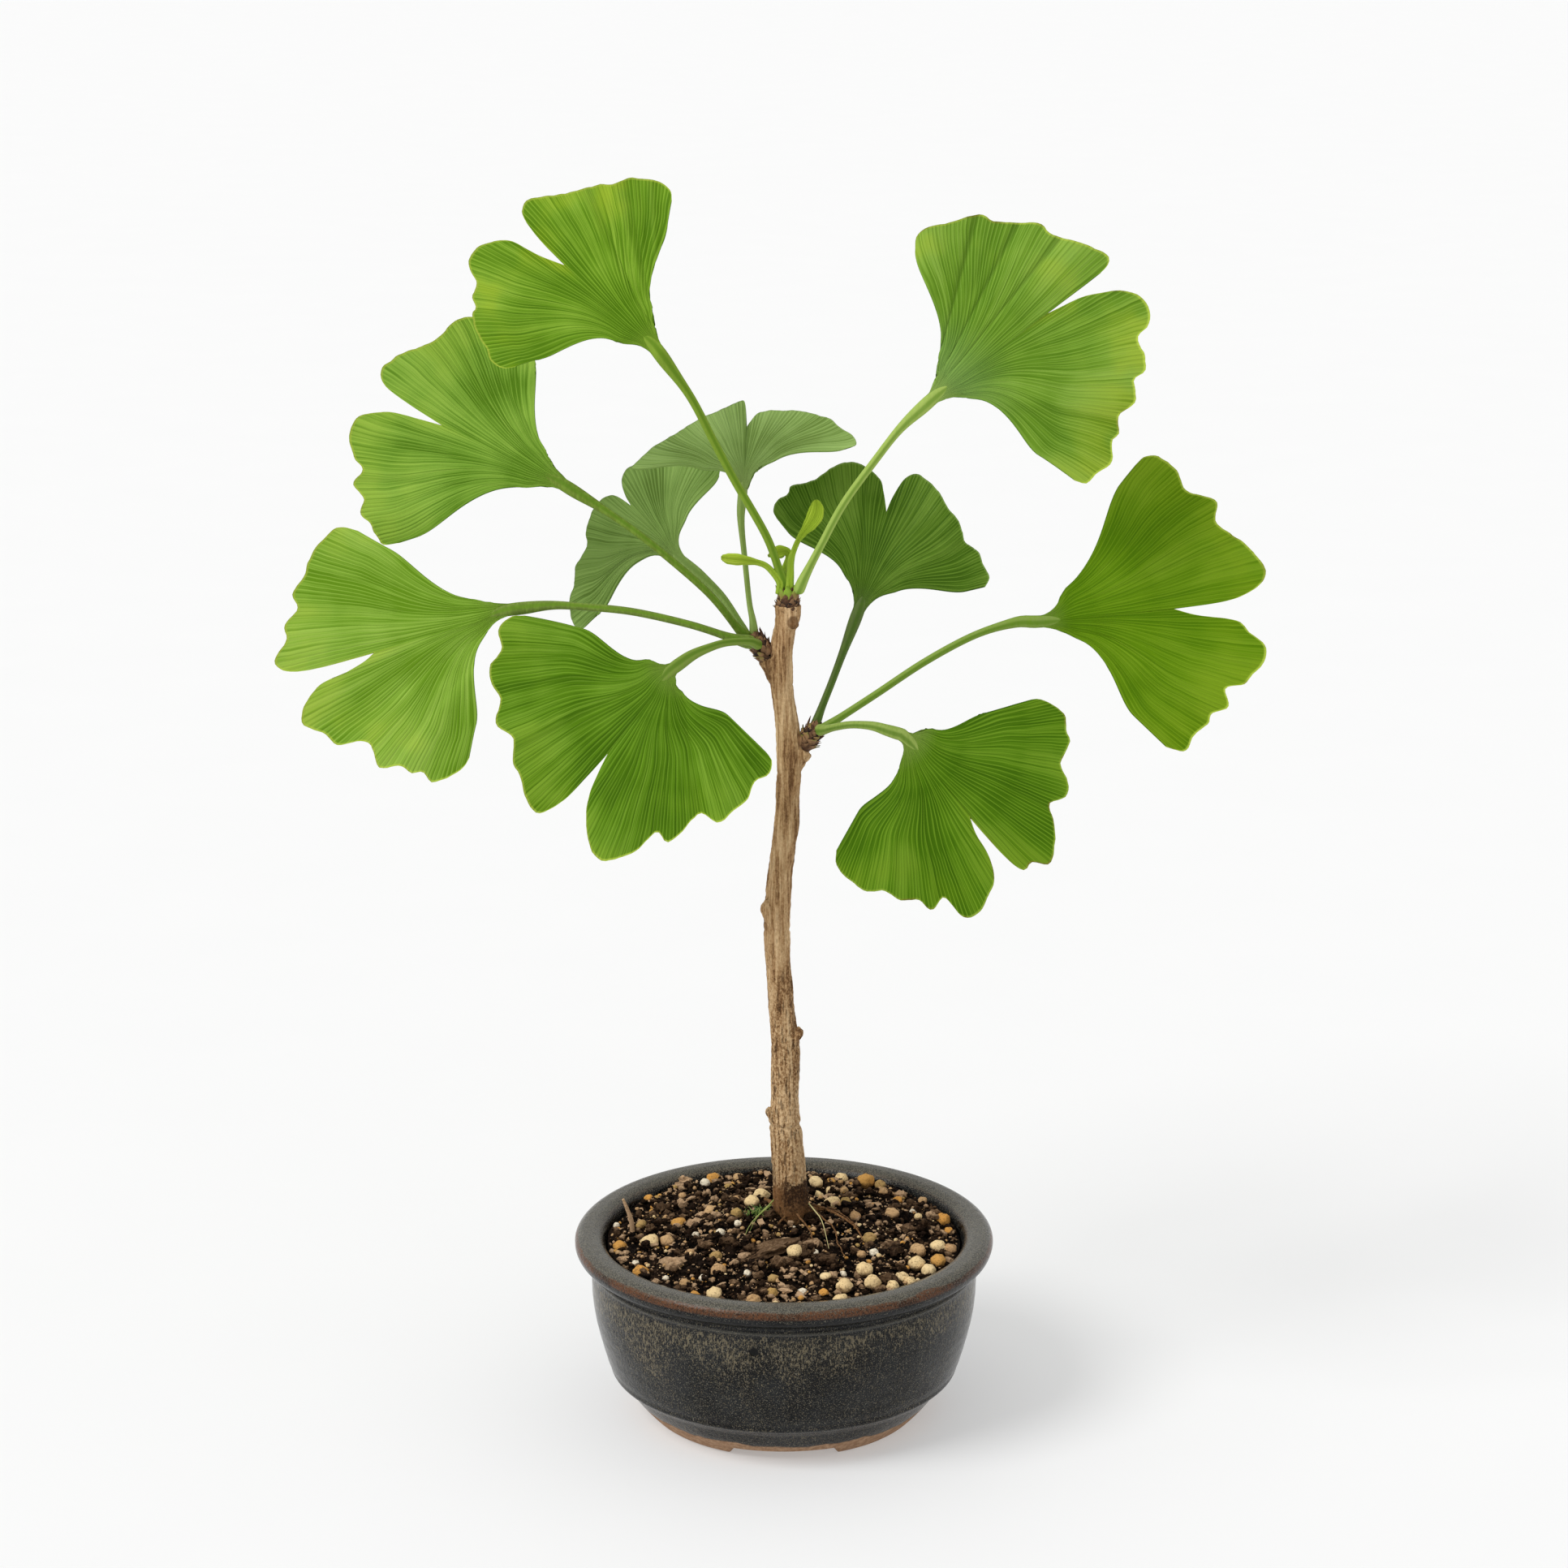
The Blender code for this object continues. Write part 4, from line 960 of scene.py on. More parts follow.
LEAVES = [
    Leaf(
        name="leaf_top_left", slot=Slot.BRIGHT,
        finish=LeafFinish((0.078, 0.185, 0.004), (0.128, 0.268, 0.011), (0.24, 0.405, 0.038),
            (0.2, 0.31, 0.032), yellow=0.6),
        base=(-27.9, -14, 262.4), heading=136.8,
        rim=[(-51, 35), (-50, 37.5), (-45, 39.5), (-40, 40), (-36, 40.5), (-31, 40), (-26, 41),
            (-20, 41.5), (-15, 42.7), (-9, 45), (-5, 46), (-2, 44), (-0.5, 38), (0, 29.4), (2, 32),
            (4, 35.5), (5, 39), (6, 42.5), (9, 45.5), (13, 48), (18, 48), (22, 44.5), (26, 44.5),
            (29, 43), (31, 43.5), (36, 42), (41, 39.3), (45, 38.5), (48, 36), (48, 33)],
        edges=((0.68, 0.25, 0.85, 0.98), (0.5, 0.25, 0.85, 0.95)),
        petiole=[(-0.2, 3.8, 206.2), (-1.1, 3.0, 209.1), (-4.2, 0.2, 218.1), (-11.4, -3, 231.6),
            (-16, -6, 241), (-21.2, -10, 252)],
        lean=-3, cup=-3, side=-2, pleat=1.2, pleats=8,
        creases=((-16, 0.25, 1.8), (-20, -0.3, 1.5), (-23.5, 0.55, 1.1), (-28, 0.2, 1.2),
            (-31.5, -0.5, 1.6), (-35.5, 0.5, 1.2), (-40, 0.2, 1.4), (-43.5, -0.5, 1.5),
            (-47.5, 0.3, 1.2), (22, 0.2, 3.0)),
        stalk=0.95),
    Leaf(
        name="leaf_top_right", slot=Slot.LEAF,
        finish=LeafFinish((0.095, 0.21, 0.01), (0.15, 0.29, 0.022), (0.235, 0.395, 0.055),
            (0.35, 0.47, 0.105), yellow=0.6, browning=0.7, painted_sheen=0.45),
        base=(32.7, -6, 250), heading=37.5,
        rim=[(57, 34.5), (56, 38.3), (52, 40.3), (45, 41.8), (37, 45), (32, 44.5), (26, 46.3),
            (20, 48.7), (17, 48), (12, 49.5), (5, 52.5), (1, 53.4), (-0.5, 50), (0.5, 43), (0, 32.1),
            (-1.5, 37), (-3, 43), (-5, 47), (-7, 51), (-10, 54), (-14, 55.4), (-18, 53.8), (-20, 50.6),
            (-25, 51), (-29, 50.5), (-31, 47.7), (-37, 47.7), (-41, 44), (-46, 44.5), (-49, 43.2),
            (-55, 44.4), (-60, 42), (-64, 41), (-65, 38)],
        edges=((0.63, 0.2, 1.0, 1.0), (0.42, 0.15, 0.75, 0.96)),
        petiole=[(3.6, 2.7, 204.9), (5.0, 2.1, 208.2), (8.9, 0, 216.3), (13.9, -2, 226.1),
            (21.3, -4, 236.9), (26.8, -5, 244.2)],
        lean=-2, cup=-3, side=2, pleat=1.0,
        creases=((38, 0.95, 1.3), (33, -0.3, 1.6), (26, 0.95, 1.2), (21, -0.35, 1.6), (14, 0.85, 1.1),
            (-8, 0.3, 1.5), (-22, 0.25, 1.2), (-42, 0.35, 2.5)),
        foot=1.4, foot_reach=6.0, stalk=0.9),
    Leaf(
        name="leaf_upper_left", slot=Slot.LEAF,
        finish=LeafFinish((0.085, 0.195, 0.008), (0.158, 0.308, 0.028), (0.254, 0.423, 0.055),
            (0.13, 0.2, 0.025), yellow=0.2),
        base=(-49.8, 2, 228.8), heading=153.7,
        rim=[(-48, 31), (-49, 34.5), (-47, 39.5), (-41, 43.4), (-34, 46), (-29, 47.2), (-23, 46.5),
            (-18, 47.5), (-13, 50), (-9, 51.2), (-6, 51.9), (-3, 49.5), (-1.5, 43), (0, 33.2),
            (1.5, 38.5), (3, 44.7), (5, 48.5), (8, 52.2), (13, 52.6), (18, 50.7), (21, 48.3), (25, 50.4),
            (29, 48), (33, 49), (36, 47.2), (40, 46.2), (43, 45.2), (44, 41.6)],
        edges=((0.56, 0.15, 1.0, 1.0), (0.53, 0.2, 0.9, 1.0)),
        petiole=[(-8.9, 3.8, 193.3), (-11, 2.6, 195.6), (-18.2, -1, 205.2), (-31.3, -2, 216.9),
            (-40.7, 0, 223.4)],
        lean=-4, cup=-2, side=2, pleat=0.8,
        creases=((-31, 0.45, 1.4), (-20, 0.4, 1.4), (12, 0.35, 1.4), (24, 0.45, 1.5)),
        foot=1.5),
    Leaf(
        name="leaf_left", slot=Slot.BRIGHT,
        finish=LeafFinish((0.12, 0.255, 0.009), (0.19, 0.352, 0.03), (0.285, 0.455, 0.065),
            (0.15, 0.215, 0.04), yellow=0.3),
        base=(-61.4, -12, 203.3), heading=197.0,
        rim=[(-43, 41), (-42, 44.5), (-40, 46.3), (-35, 48.3), (-30, 49.5), (-26, 49.7), (-21, 52),
            (-17, 50.7), (-13, 53.8), (-9, 54), (-5, 57.3), (-2, 55.5), (-0.5, 49), (0, 34.6), (2, 37.5),
            (3.5, 43), (4, 48.6), (7, 53.5), (11, 56.3), (16, 53), (20, 52.2), (23, 47.5), (26, 46.3),
            (32, 48.5), (36, 45.2), (40, 45), (43, 43.6), (47, 44.5), (51, 41.7), (54, 38.8), (55, 36)],
        edges=((0.63, 0.2, 0.8, 0.98), (0.2, 0.0, 0.8, 0.97)),
        petiole=[(-7.6, 0.9, 192.4), (-11.9, -1.4, 193.9), (-21.9, -5, 198), (-35, -8, 201.7),
            (-46.1, -10, 203.3), (-53.6, -11, 203.9)],
        lean=3, cup=-2, side=-1,
        creases=((-27, 0.4, 1.4), (-15, 0.35, 1.3), (18, 0.3, 1.4), (33, 0.4, 1.5)),
        foot=1.8, foot_reach=5.5, sunk=0.9),
    Leaf(
        name="leaf_lower_left", slot=Slot.LEAF,
        finish=LeafFinish((0.055, 0.14, 0.002), (0.095, 0.215, 0.006), (0.175, 0.325, 0.026),
            (0.19, 0.27, 0.05), yellow=0.2),
        base=(-24.7, -14, 190.3), heading=231.8,
        rim=[(-70, 37), (-68, 40.2), (-63, 42), (-57, 40.6), (-52, 43.1), (-46, 43), (-41, 41.5),
            (-34, 44), (-29, 41.5), (-26, 41.9), (-21, 44), (-16, 44.5), (-10, 46.6), (-5, 46.8),
            (-2, 41), (-1, 34), (0, 25.8), (2, 31), (4, 36), (7, 40.6), (12, 46), (17, 48.4), (22, 46),
            (26, 43.6), (31, 38.8), (35, 40.8), (40, 38.3), (44, 35.7), (48, 34.6), (53, 37.5), (59, 36),
            (66, 34.9), (72, 32.2), (78, 32.9), (83, 31), (84, 28.8)],
        edges=((0.77, 0.1, 0.6, 1.05), (0.6, 0.1, 0.55, 1.0)),
        petiole=[(-6.3, 0.7, 192), (-8.4, -2.6, 193.4), (-13.6, -7, 194.1), (-17.9, -10, 193.4),
            (-21.4, -12, 192.2)],
        lean=3, cup=-1, side=-5, pleat=0.8, pleats=8,
        creases=((-45, 0.3, 1.5), (-24, 0.4, 1.4), (22, 0.3, 1.4), (47, 0.4, 1.5)),
        foot=1.3, opens=6.5, turn=0.3),
    Leaf(
        name="leaf_lower_right", slot=Slot.LEAF,
        finish=LeafFinish((0.046, 0.122, 0.001), (0.072, 0.17, 0.003), (0.13, 0.245, 0.014),
            (0.26, 0.35, 0.08), margin=(0.3, 0.4, 0.05), yellow=0.2, browning=1.0, veined=0.62),
        base=(27.2, -16, 174.4), heading=309.7,
        rim=[(65, 28.6), (65, 32.5), (61, 36), (57, 38.2), (52, 38.2), (47, 39), (40, 37.4), (35, 39.8),
            (30, 40.8), (25, 37.9), (20, 41), (14, 44), (9, 45.5), (6, 42.3), (2, 42), (0.5, 36),
            (0, 24.7), (-3, 29), (-4, 34.6), (-7, 39.8), (-12, 42.7), (-16, 45), (-21, 44.7),
            (-25, 39.1), (-30, 41.3), (-34, 38.5), (-40, 38.5), (-46, 36.4), (-52, 37.2), (-58, 36),
            (-63, 34.8), (-67, 33.2), (-69, 30.8)],
        edges=((0.76, 0.1, 0.65, 0.99), (0.55, 0.1, 0.65, 1.0)),
        petiole=[(8.2, 1.3, 171.1), (9.8, -0.8, 171.8), (11.8, -3.6, 173.0), (14.8, -7, 174.4),
            (17.8, -10, 175.2), (20.9, -13, 175.6), (24.1, -15, 175.1)],
        lean=3, cup=-3, side=1, pleat=1.0,
        creases=((43, 0.35, 1.4), (24, 0.45, 1.3), (-18, 0.35, 1.4), (-41, 0.4, 1.5)),
        foot=1.5, foot_reach=3.6, sunk=0.7, opens=5.5, turn=0.22),
    Leaf(
        name="leaf_right", slot=Slot.LEAF,
        finish=LeafFinish((0.08, 0.188, 0.001), (0.116, 0.24, 0.003), (0.17, 0.305, 0.012),
            (0.22, 0.32, 0.065), yellow=0.2, browning=0.6),
        base=(59.3, 8, 195.8), heading=5.3,
        rim=[(52, 44), (51, 47), (48, 48.7), (42, 49), (36, 47.3), (32, 49.3), (28, 51.6), (24, 48.9),
            (19, 50.6), (15, 53), (11, 54.7), (7, 55.9), (3.5, 53), (1, 46), (0, 33), (-3, 38.5),
            (-5, 47.8), (-8, 50.5), (-11, 54.5), (-15, 55), (-19, 53), (-22, 51.5), (-24.5, 47.8),
            (-29, 49.8), (-33, 47), (-36, 47.4), (-41, 46.2), (-46, 46.7), (-49, 43)],
        edges=((0.79, 0.25, 0.85, 1.02), (0.5, 0.15, 0.75, 1.0)),
        petiole=[(9.6, 4, 171.0), (14.2, 4.3, 174.0), (21.9, 5, 179), (33.4, 6, 186.6), (44.9, 7, 192.7),
            (54.5, 8, 195.6)],
        lean=-5, cup=-2, side=1,
        creases=((33, 0.35, 1.4), (17, 0.45, 1.4), (-17, 0.35, 1.4), (-36, 0.4, 1.5))),
    Leaf(
        name="leaf_back_right", slot=Slot.DARK,
        finish=LeafFinish((0.044, 0.11, 0.002), (0.072, 0.158, 0.007), (0.138, 0.245, 0.026),
            (0.11, 0.16, 0.045), margin=(0.24, 0.36, 0.09), bloom=0.2, veined=0.56),
        base=(17.2, 14, 195.7), heading=74.0,
        rim=[(55, 30), (54, 32.2), (50, 33.4), (45, 33.6), (42, 34.7), (34, 34), (28, 35.2), (23, 36.5),
            (17, 36.8), (11, 35.2), (6, 33), (3, 29.5), (0, 26), (-1, 30), (-3, 34.3), (-6, 36.6),
            (-11, 36.7), (-17, 35.7), (-24, 33.9), (-30, 33.5), (-36, 32.2), (-40, 31.4), (-46, 33),
            (-51, 32.6), (-57, 33.1), (-61, 31.5)],
        edges=((0.48, 0.15, 0.85, 1.0), (0.58, 0.1, 0.85, 1.0)),
        petiole=[(7.5, 5.5, 171.5), (9.1, 7.2, 175.5), (11.4, 9, 181), (14.3, 12, 188.2)],
        lean=-8, cup=-2, pleat=0.8, pleats=8,
        creases=((28, 0.4, 1.4), (12, 0.45, 1.3), (-14, 0.35, 1.3), (-32, 0.4, 1.4))),
    Leaf(
        name="leaf_back_top", slot=Slot.PALE,
        finish=LeafFinish((0.15, 0.25, 0.042), (0.24, 0.38, 0.09), (0.315, 0.47, 0.13),
            (0.22, 0.3, 0.075), margin=(0.3, 0.42, 0.14), bloom=0.3),
        base=(-9.7, 8, 226.5), heading=86.5,
        rim=[(81, 27), (76, 25.7), (66, 23.7), (58, 22), (48, 20.8), (36, 20.2), (24, 20.1), (12, 20.8),
            (5, 21.8), (2, 21), (0, 15.6), (-3, 17), (-7, 19), (-13, 20.2), (-21, 21.4), (-30, 23.2),
            (-38, 24.8), (-42, 25.7), (-46, 27), (-52, 27.5), (-58, 29), (-63, 29), (-63, 26.6)],
        edges=((0.73, 0.2, 1.0, 1.0), (0.53, 0.1, 1.0, 1.0)),
        petiole=[(-7.1, 4.4, 194.4), (-7.4, 5, 197), (-8.2, 6.5, 201.1), (-9.2, 8, 210.7),
            (-10.1, 8, 220.4)],
        lean=-26, bow=-10, cup=14, fold=2.5, pleat=0.8, pleats=7, foot=1.1, stalk=0.66),
    Leaf(
        name="leaf_back_left", slot=Slot.PALE,
        finish=LeafFinish((0.12, 0.21, 0.03), (0.215, 0.345, 0.075), (0.29, 0.44, 0.11),
            (0.19, 0.28, 0.065), margin=(0.3, 0.42, 0.14), bloom=0.3),
        base=(-23.1, 16, 207.7), heading=133.0,
        rim=[(-63, 22.5), (-61, 25), (-54, 26.4), (-43, 27.1), (-30, 27.4), (-20, 27.1), (-12, 26.9),
            (-6, 25.8), (-2, 22.5), (0, 19.5), (2, 23), (5, 24.8), (12, 25.8), (20, 25.7), (28, 25.3),
            (35, 24.2), (41, 24.8), (48, 26.4), (57, 27.2), (63, 29), (70, 30), (78, 30), (78, 28)],
        edges=((0.46, 0.1, 1.0, 1.0), (0.2, 0.0, 0.85, 0.97)),
        petiole=[(-8.7, 6.5, 192.4), (-10.4, 8.4, 195.2), (-14.6, 12, 200.9), (-19.4, 14, 205.2)],
        lean=-18, cup=-2, pleat=0.6, pleats=8),
]


@dataclass
class YoungLeaf:
    """A young leaf: a stalk that widens into a small thick blade with a rounded end.

    The line holds (x, y, z, half width, half depth) from the foot to the tip.
    """

    name: str
    line: list
    groove: float = 0.25
    sides: int = 24
    rings: int = 48

    def make(self) -> Thing:
        """Make the young leaf's piece in place of its CAD node.

        Returns:
            The young leaf's piece.
        """
        shape = Shape()
        spots = [Vector(spot[:3]) for spot in self.line]
        halves = smooth_stem(Stem(spots, [spot[3] for spot in self.line]), self.rings).radii
        stem = smooth_stem(Stem(spots, [spot[4] for spot in self.line]), self.rings)
        widths = [half / deep for half, deep in zip(halves, stem.radii)]
        shares = [index / self.rings for index in range(self.rings + 1)]
        stalk = [0.7 * smoothstep(0.75, 0.35, share) for share in shares for _ in range(self.sides)]
        along = [0.9 * smoothstep(0.4, 1.0, share) for share in shares for _ in range(self.sides)]
        turns = [2 * pi * step / self.sides for step in range(self.sides)]
        across = [0.4 * sin(turn) for _ in shares for turn in turns]
        sweep(shape, stem, self.sides, groove=self.groove, widths=widths, stalk=stalk, along=along,
              across=across, reach=14.0, side=9.0, crease=0.0)
        skin = LeafFinish((0.28, 0.43, 0.022), (0.42, 0.58, 0.045), (0.56, 0.7, 0.09),
                          petiole=(0.27, 0.42, 0.045), margin=(0.56, 0.68, 0.1))
        thing = shape.build(self.name + "_fine", skin.make(self.name + "_skin"))
        return install(thing, Slot.BRIGHT, self.name)


YOUNG_LEAVES = [
    YoungLeaf("young_leaf_upright",
              [(1.2, 3.6, 202.0, 1.2, 0.9), (1.2, 3.6, 204.5, 1.15, 0.9), (1.3, 3.6, 207, 1.05, 0.8),
               (1.6, 4.0, 211.3, 0.85, 0.65), (2.3, 4.6, 213.6, 0.66, 0.5), (3.3, 5, 215.9, 0.65, 0.45),
               (4.6, 5, 217.9, 0.95, 0.42), (6.1, 5, 219.8, 1.6, 0.42), (7.2, 5, 221.7, 1.95, 0.4),
               (7.6, 5, 223.6, 1.75, 0.36), (7.5, 5, 225.0, 1.05, 0.3), (7.45, 5, 225.6, 0.35, 0.2)]),
    YoungLeaf("young_leaf_round",
              [(-0.8, 6.4, 203.6, 0.8, 0.7), (-0.2, 7.2, 208, 0.65, 0.55), (0.9, 7.6, 211.2, 0.6, 0.5),
               (0.7, 7.6, 212.6, 1.1, 0.45), (-1.0, 7.6, 212.7, 1.6, 0.45), (-2.6, 7.6, 212.1, 1.2, 0.4),
               (-3.8, 7.6, 211.7, 0.3, 0.2)]),
    YoungLeaf("young_leaf_rolled",
              [(-1.2, 3.4, 203.6, 0.85, 0.8), (-1.0, 3.0, 206.2, 0.85, 0.8), (-2.4, 2.4, 208.6, 0.78, 0.75),
               (-4.2, 1.9, 210.5, 0.72, 0.7), (-6.2, 1.5, 211.4, 0.72, 0.7), (-8.7, 1.3, 211.9, 1.05, 0.95),
               (-11, 1.1, 212.2, 1.4, 1.2), (-13, 1, 212.4, 1.3, 1.1), (-14.2, 1, 212.6, 0.85, 0.75),
               (-14.7, 1, 212.6, 0.35, 0.3)], groove=0.35),
]


@dataclass(frozen=True)
class BarkFinish:
    """Straw-coloured bark: grainy and grooved low down, smooth above, brown and ragged at the foot."""

    straw: Colour = (0.74, 0.52, 0.29)
    tan: Colour = (0.415, 0.245, 0.112)
    brown: Colour = (0.165, 0.08, 0.032)
    # Dark brown for stains, specks and the bud knob, and for the painted shade in the cracks and the painted
    # shadow at the foot.
    stain_and_shade: Colour = (0.04, 0.019, 0.009)
    rusty: Colour = (0.205, 0.092, 0.031)
    bud: tuple = (2.3, 1.2, 197.0)

    def make(self) -> Material:
        """Make the material.

        Returns:
            The new material.
        """
        made = Finish("bark", Specular_IOR_Level=0.12)
        place = made.position()
        height = made.parts(place)[2]
        smooth = made.rise(height, 85, 135)
        fibre = made.noise(made.position((1, 1, 0.055)), 1.3, 4, 0.66)
        patch = made.noise(made.position((1, 1, 0.3)), 0.16, 2)
        grit = made.noise(made.position((1, 1, 0.75)), 1.9, 3, 0.7)
        grainy = made.times(made.less(grit, 0.5), made.rise(smooth, 0, 1, 0.55, 0.2))
        tone = made.total((fibre, 0.52), (patch, 0.36), (grainy, 1), (smooth, -0.022))
        skin = made.ramp(tone, (0.33, self.brown), (0.405, self.tan), (0.535, self.straw))
        groove = made.rise(made.noise(made.position((1, 1, 0.14)), 1.8, 3), 0.42, 0.32)
        cracks = made.times(groove, made.rise(smooth, 0, 1, 0.62, 0.14))
        # Dark cracks in the grooves that the bump sinks: partly the bark's own dark fissures, partly painted
        # shade.
        skin = made.mix(cracks, skin, self.stain_and_shade)
        skin = self.footed(made, skin, grit)
        knob = made.distance(place, self.bud)
        skin = made.mix(made.rise(knob, 1.9, 1.3, 0, 0.75), skin, made.mix(grit, self.stain_and_shade, self.rusty))
        made.shade("Base Color", skin)
        made.shade("Roughness", made.rise(fibre, 0.3, 0.7, 0.9, 0.66))
        made.bump(made.less(made.total((fibre, 1), (grainy, 1.6)), cracks), 0.55)
        return made.material

    def footed(self, made: Finish, skin: Value, grit: Value) -> Socket:
        """Give the skin its foot: rust brown with pale streaks, under a dark ragged edge of painted shadow on
        the right.

        Args:
            made: The material that gets the nodes.
            skin: The colour so far.
            grit: A fine noise.

        Returns:
            The colour with its foot.
        """
        across, _, height = made.parts(made.position())
        ragged = made.calc("MULTIPLY_ADD", made.noise(made.position(), 0.45, 4, 0.7), 9, height)
        streaks = made.noise(made.position((1, 1, 0.12)), 1.7, 3, 0.6)
        rusty = made.mix(made.rise(streaks, 0.5, 0.7, 0, 0.45), self.rusty, self.tan)
        rusty = made.mix(made.rise(grit, 0.46, 0.36, 0, 0.7), rusty, self.stain_and_shade)
        skin = made.mix(made.rise(ragged, 62, 59.5, 0, 0.92), skin, rusty)
        # Painted shadow: a dark ragged band under the foot's edge, strongest on the right.
        band = made.times(made.rise(ragged, 62.3, 61.2), made.rise(ragged, 52.5, 57.5))
        right = made.times(made.rise(across, -1.8, 1.2, 0.12, 1), made.rise(grit, 0.66, 0.46, 0.45, 1))
        return made.mix(made.times(band, right), skin, self.stain_and_shade)


@dataclass
class Trunk:
    """The woody trunk with shoulders, buds, scars and surface roots in one skin."""

    main: Stem = field(default_factory=lambda: Stem(
        path=[(2, 5, 33.2), (2.2, 5, 42.2), (2, 4.6, 47.7), (1.7, 4, 51.2), (1.2, 4, 59.7), (0.5, 4, 68.2),
              (0.1, 4, 71.7), (0.3, 4, 80.7), (0.4, 4, 90.2), (-0.4, 4, 99.4), (-0.9, 4, 105.6),
              (-1.5, 4, 113.8), (-1.7, 4, 122.2), (-1.5, 4, 127.2), (-1.2, 4, 132.2), (-0.5, 4, 138.2),
              (0.4, 4, 146.2), (0.8, 4, 153.4), (1.2, 4, 159.2), (1.4, 4, 164.2), (0.9, 4, 170.2),
              (0.4, 4, 174.2), (-0.4, 4, 180.2), (-0.8, 4, 184.7), (-0.6, 4, 190), (0.2, 4, 194.9),
              (0.8, 4, 197.7), (0.9, 4, 200.8)],
        radii=[2.6, 3.2, 4.1, 4.35, 4.1, 3.85, 3.7, 3.3, 3.4, 3.2, 3.1, 3.05, 3.2, 3.15, 3.0, 2.85, 2.95,
               2.75, 2.95, 3.15, 2.75, 2.65, 2.75, 2.95, 2.65, 2.55, 2.95, 3.1]))
    shoulders: tuple = (
        Stem(path=[(-0.8, 4, 181.5), (-2.3, 4, 185.4), (-3.9, 4, 188.2)], radii=[2.4, 2.6, 2.5]),
        Stem(path=[(1.4, 4, 160.0), (3.2, 4, 163.8), (4.8, 4, 165.8)], radii=[2.4, 2.5, 2.5]))
    buds: tuple = (
        Stem(path=[(-2.6, 2.4, 122.7), (-4.4, 1.8, 127), (-4.2, 1.8, 129.2)], radii=[1.7, 1.3, 0.5]),
        Stem(path=[(1.6, 2.4, 92.6), (3.6, 2, 95.2), (3.5, 2, 97)], radii=[1.4, 1.1, 0.4]),
        Stem(path=[(-1.8, 2.4, 73.4), (-3.6, 2, 75), (-3.6, 2, 76.6)], radii=[1.3, 1.0, 0.4]),
        Stem(path=[(1.6, 2.2, 196.2), (2.3, 1.4, 196.9), (2.4, 1.0, 197.2)], radii=[1.3, 1.35, 0.8]))
    roots: tuple = (
        Stem(path=[(3.2, 4.2, 48.2), (8, 8, 47.6), (13, 10.5, 46.6)], radii=[1.2, 0.6, 0.4]),
        Stem(path=[(0.5, 7, 48.2), (-3, 12, 47.6), (-5, 17, 46.8)], radii=[1.2, 0.6, 0.4]))
    threads: tuple = (
        Stem(path=[(4.6, 4.1, 50.0), (6.8, 4.1, 50.3), (10.4, 3.3, 49.3), (14.7, -0.3, 48.4),
                   (17.4, -4.6, 47.8), (19.2, -9.9, 46.8)],
             radii=[0.35, 0.32, 0.3, 0.28, 0.24, 0.16]),
        Stem(path=[(8.6, 3.4, 49.9), (12.6, 2.4, 49.2), (15.8, -1.2, 48.6), (18.2, -6.0, 47.9)],
             radii=[0.12, 0.12, 0.1, 0.08]),
        Stem(path=[(5.0, 3.0, 49.8), (7.2, 2.6, 49.8), (9.5, -0.8, 48.6), (12.3, -4.1, 47.4),
                   (12.9, -12.1, 46.9), (14.6, -19.8, 46.4)],
             radii=[0.3, 0.26, 0.2, 0.17, 0.15, 0.1]),
        Stem(path=[(3.0, 0.6, 49.5), (4.4, -2.4, 48.8), (5.9, -5.7, 48.0), (7.1, -11.5, 46.9)],
             radii=[0.3, 0.24, 0.2, 0.12]),
        Stem(path=[(0.2, 0.4, 48.6), (-1.6, -3.6, 47.8), (-2.2, -8.0, 47.0)], radii=[0.3, 0.2, 0.12]))
    rings: tuple = ((71.3, -0.22, 0.5), (72.6, 0.18, 0.9), (91.4, -0.12, 0.4), (121.3, -0.16, 0.5),
                    (131.5, 0.12, 0.8), (159.8, -0.12, 0.4), (181.8, -0.1, 0.4))
    voxel: float = 0.3

    def make(self) -> Thing:
        """Make the trunk's piece: tubes melted into one skin and roughened like bark.

        Returns:
            The trunk's piece.
        """
        shape = Shape()
        sweep(shape, smooth_stem(self.main, 120), 32)
        for stem in (*self.shoulders, *self.buds, *self.roots):
            sweep(shape, smooth_stem(stem, 14), 16)
        rough = shape.build("trunk_tubes", None)
        thing = self.melted(rough)
        self.roughen(thing.data)
        thing.data.materials.clear()
        bark = BarkFinish().make()
        thing.data.materials.append(bark)
        self.make_threads(bark)
        return install(thing, Slot.BARK, "trunk")

    def make_threads(self, bark: Material) -> None:
        """Make the thin roots that run over the soil.

        Args:
            bark: The trunk's material.
        """
        shape = Shape()
        for stem in self.threads:
            smooth = smooth_stem(stem, 36)
            for place in smooth.path:
                place += Vector((noise.noise(place * 0.7), noise.noise(place * 0.7 + CAMERA_PLACE), 0)) * 0.35
            sweep(shape, smooth, 8)
        install(shape.build("thin_roots", bark), Slot.BARK)

    def melted(self, rough: Thing) -> Thing:
        """Remesh the overlapping tubes into one smooth skin.

        Args:
            rough: The tubes, which are removed.

        Returns:
            The skin's piece.
        """
        remesh = rough.modifiers.new("melt", "REMESH")
        remesh.mode = "VOXEL"
        remesh.voxel_size = self.voxel * MM
        soften = rough.modifiers.new("soften", "SMOOTH")
        soften.factor = 0.5
        soften.iterations = 4
        graph = bpy.context.evaluated_depsgraph_get()
        mesh = bpy.data.meshes.new_from_object(rough.evaluated_get(graph))
        bpy.data.objects.remove(rough, do_unlink=True)
        mesh.polygons.foreach_set("use_smooth", [True] * len(mesh.polygons))
        return add_object("trunk_bark", mesh)

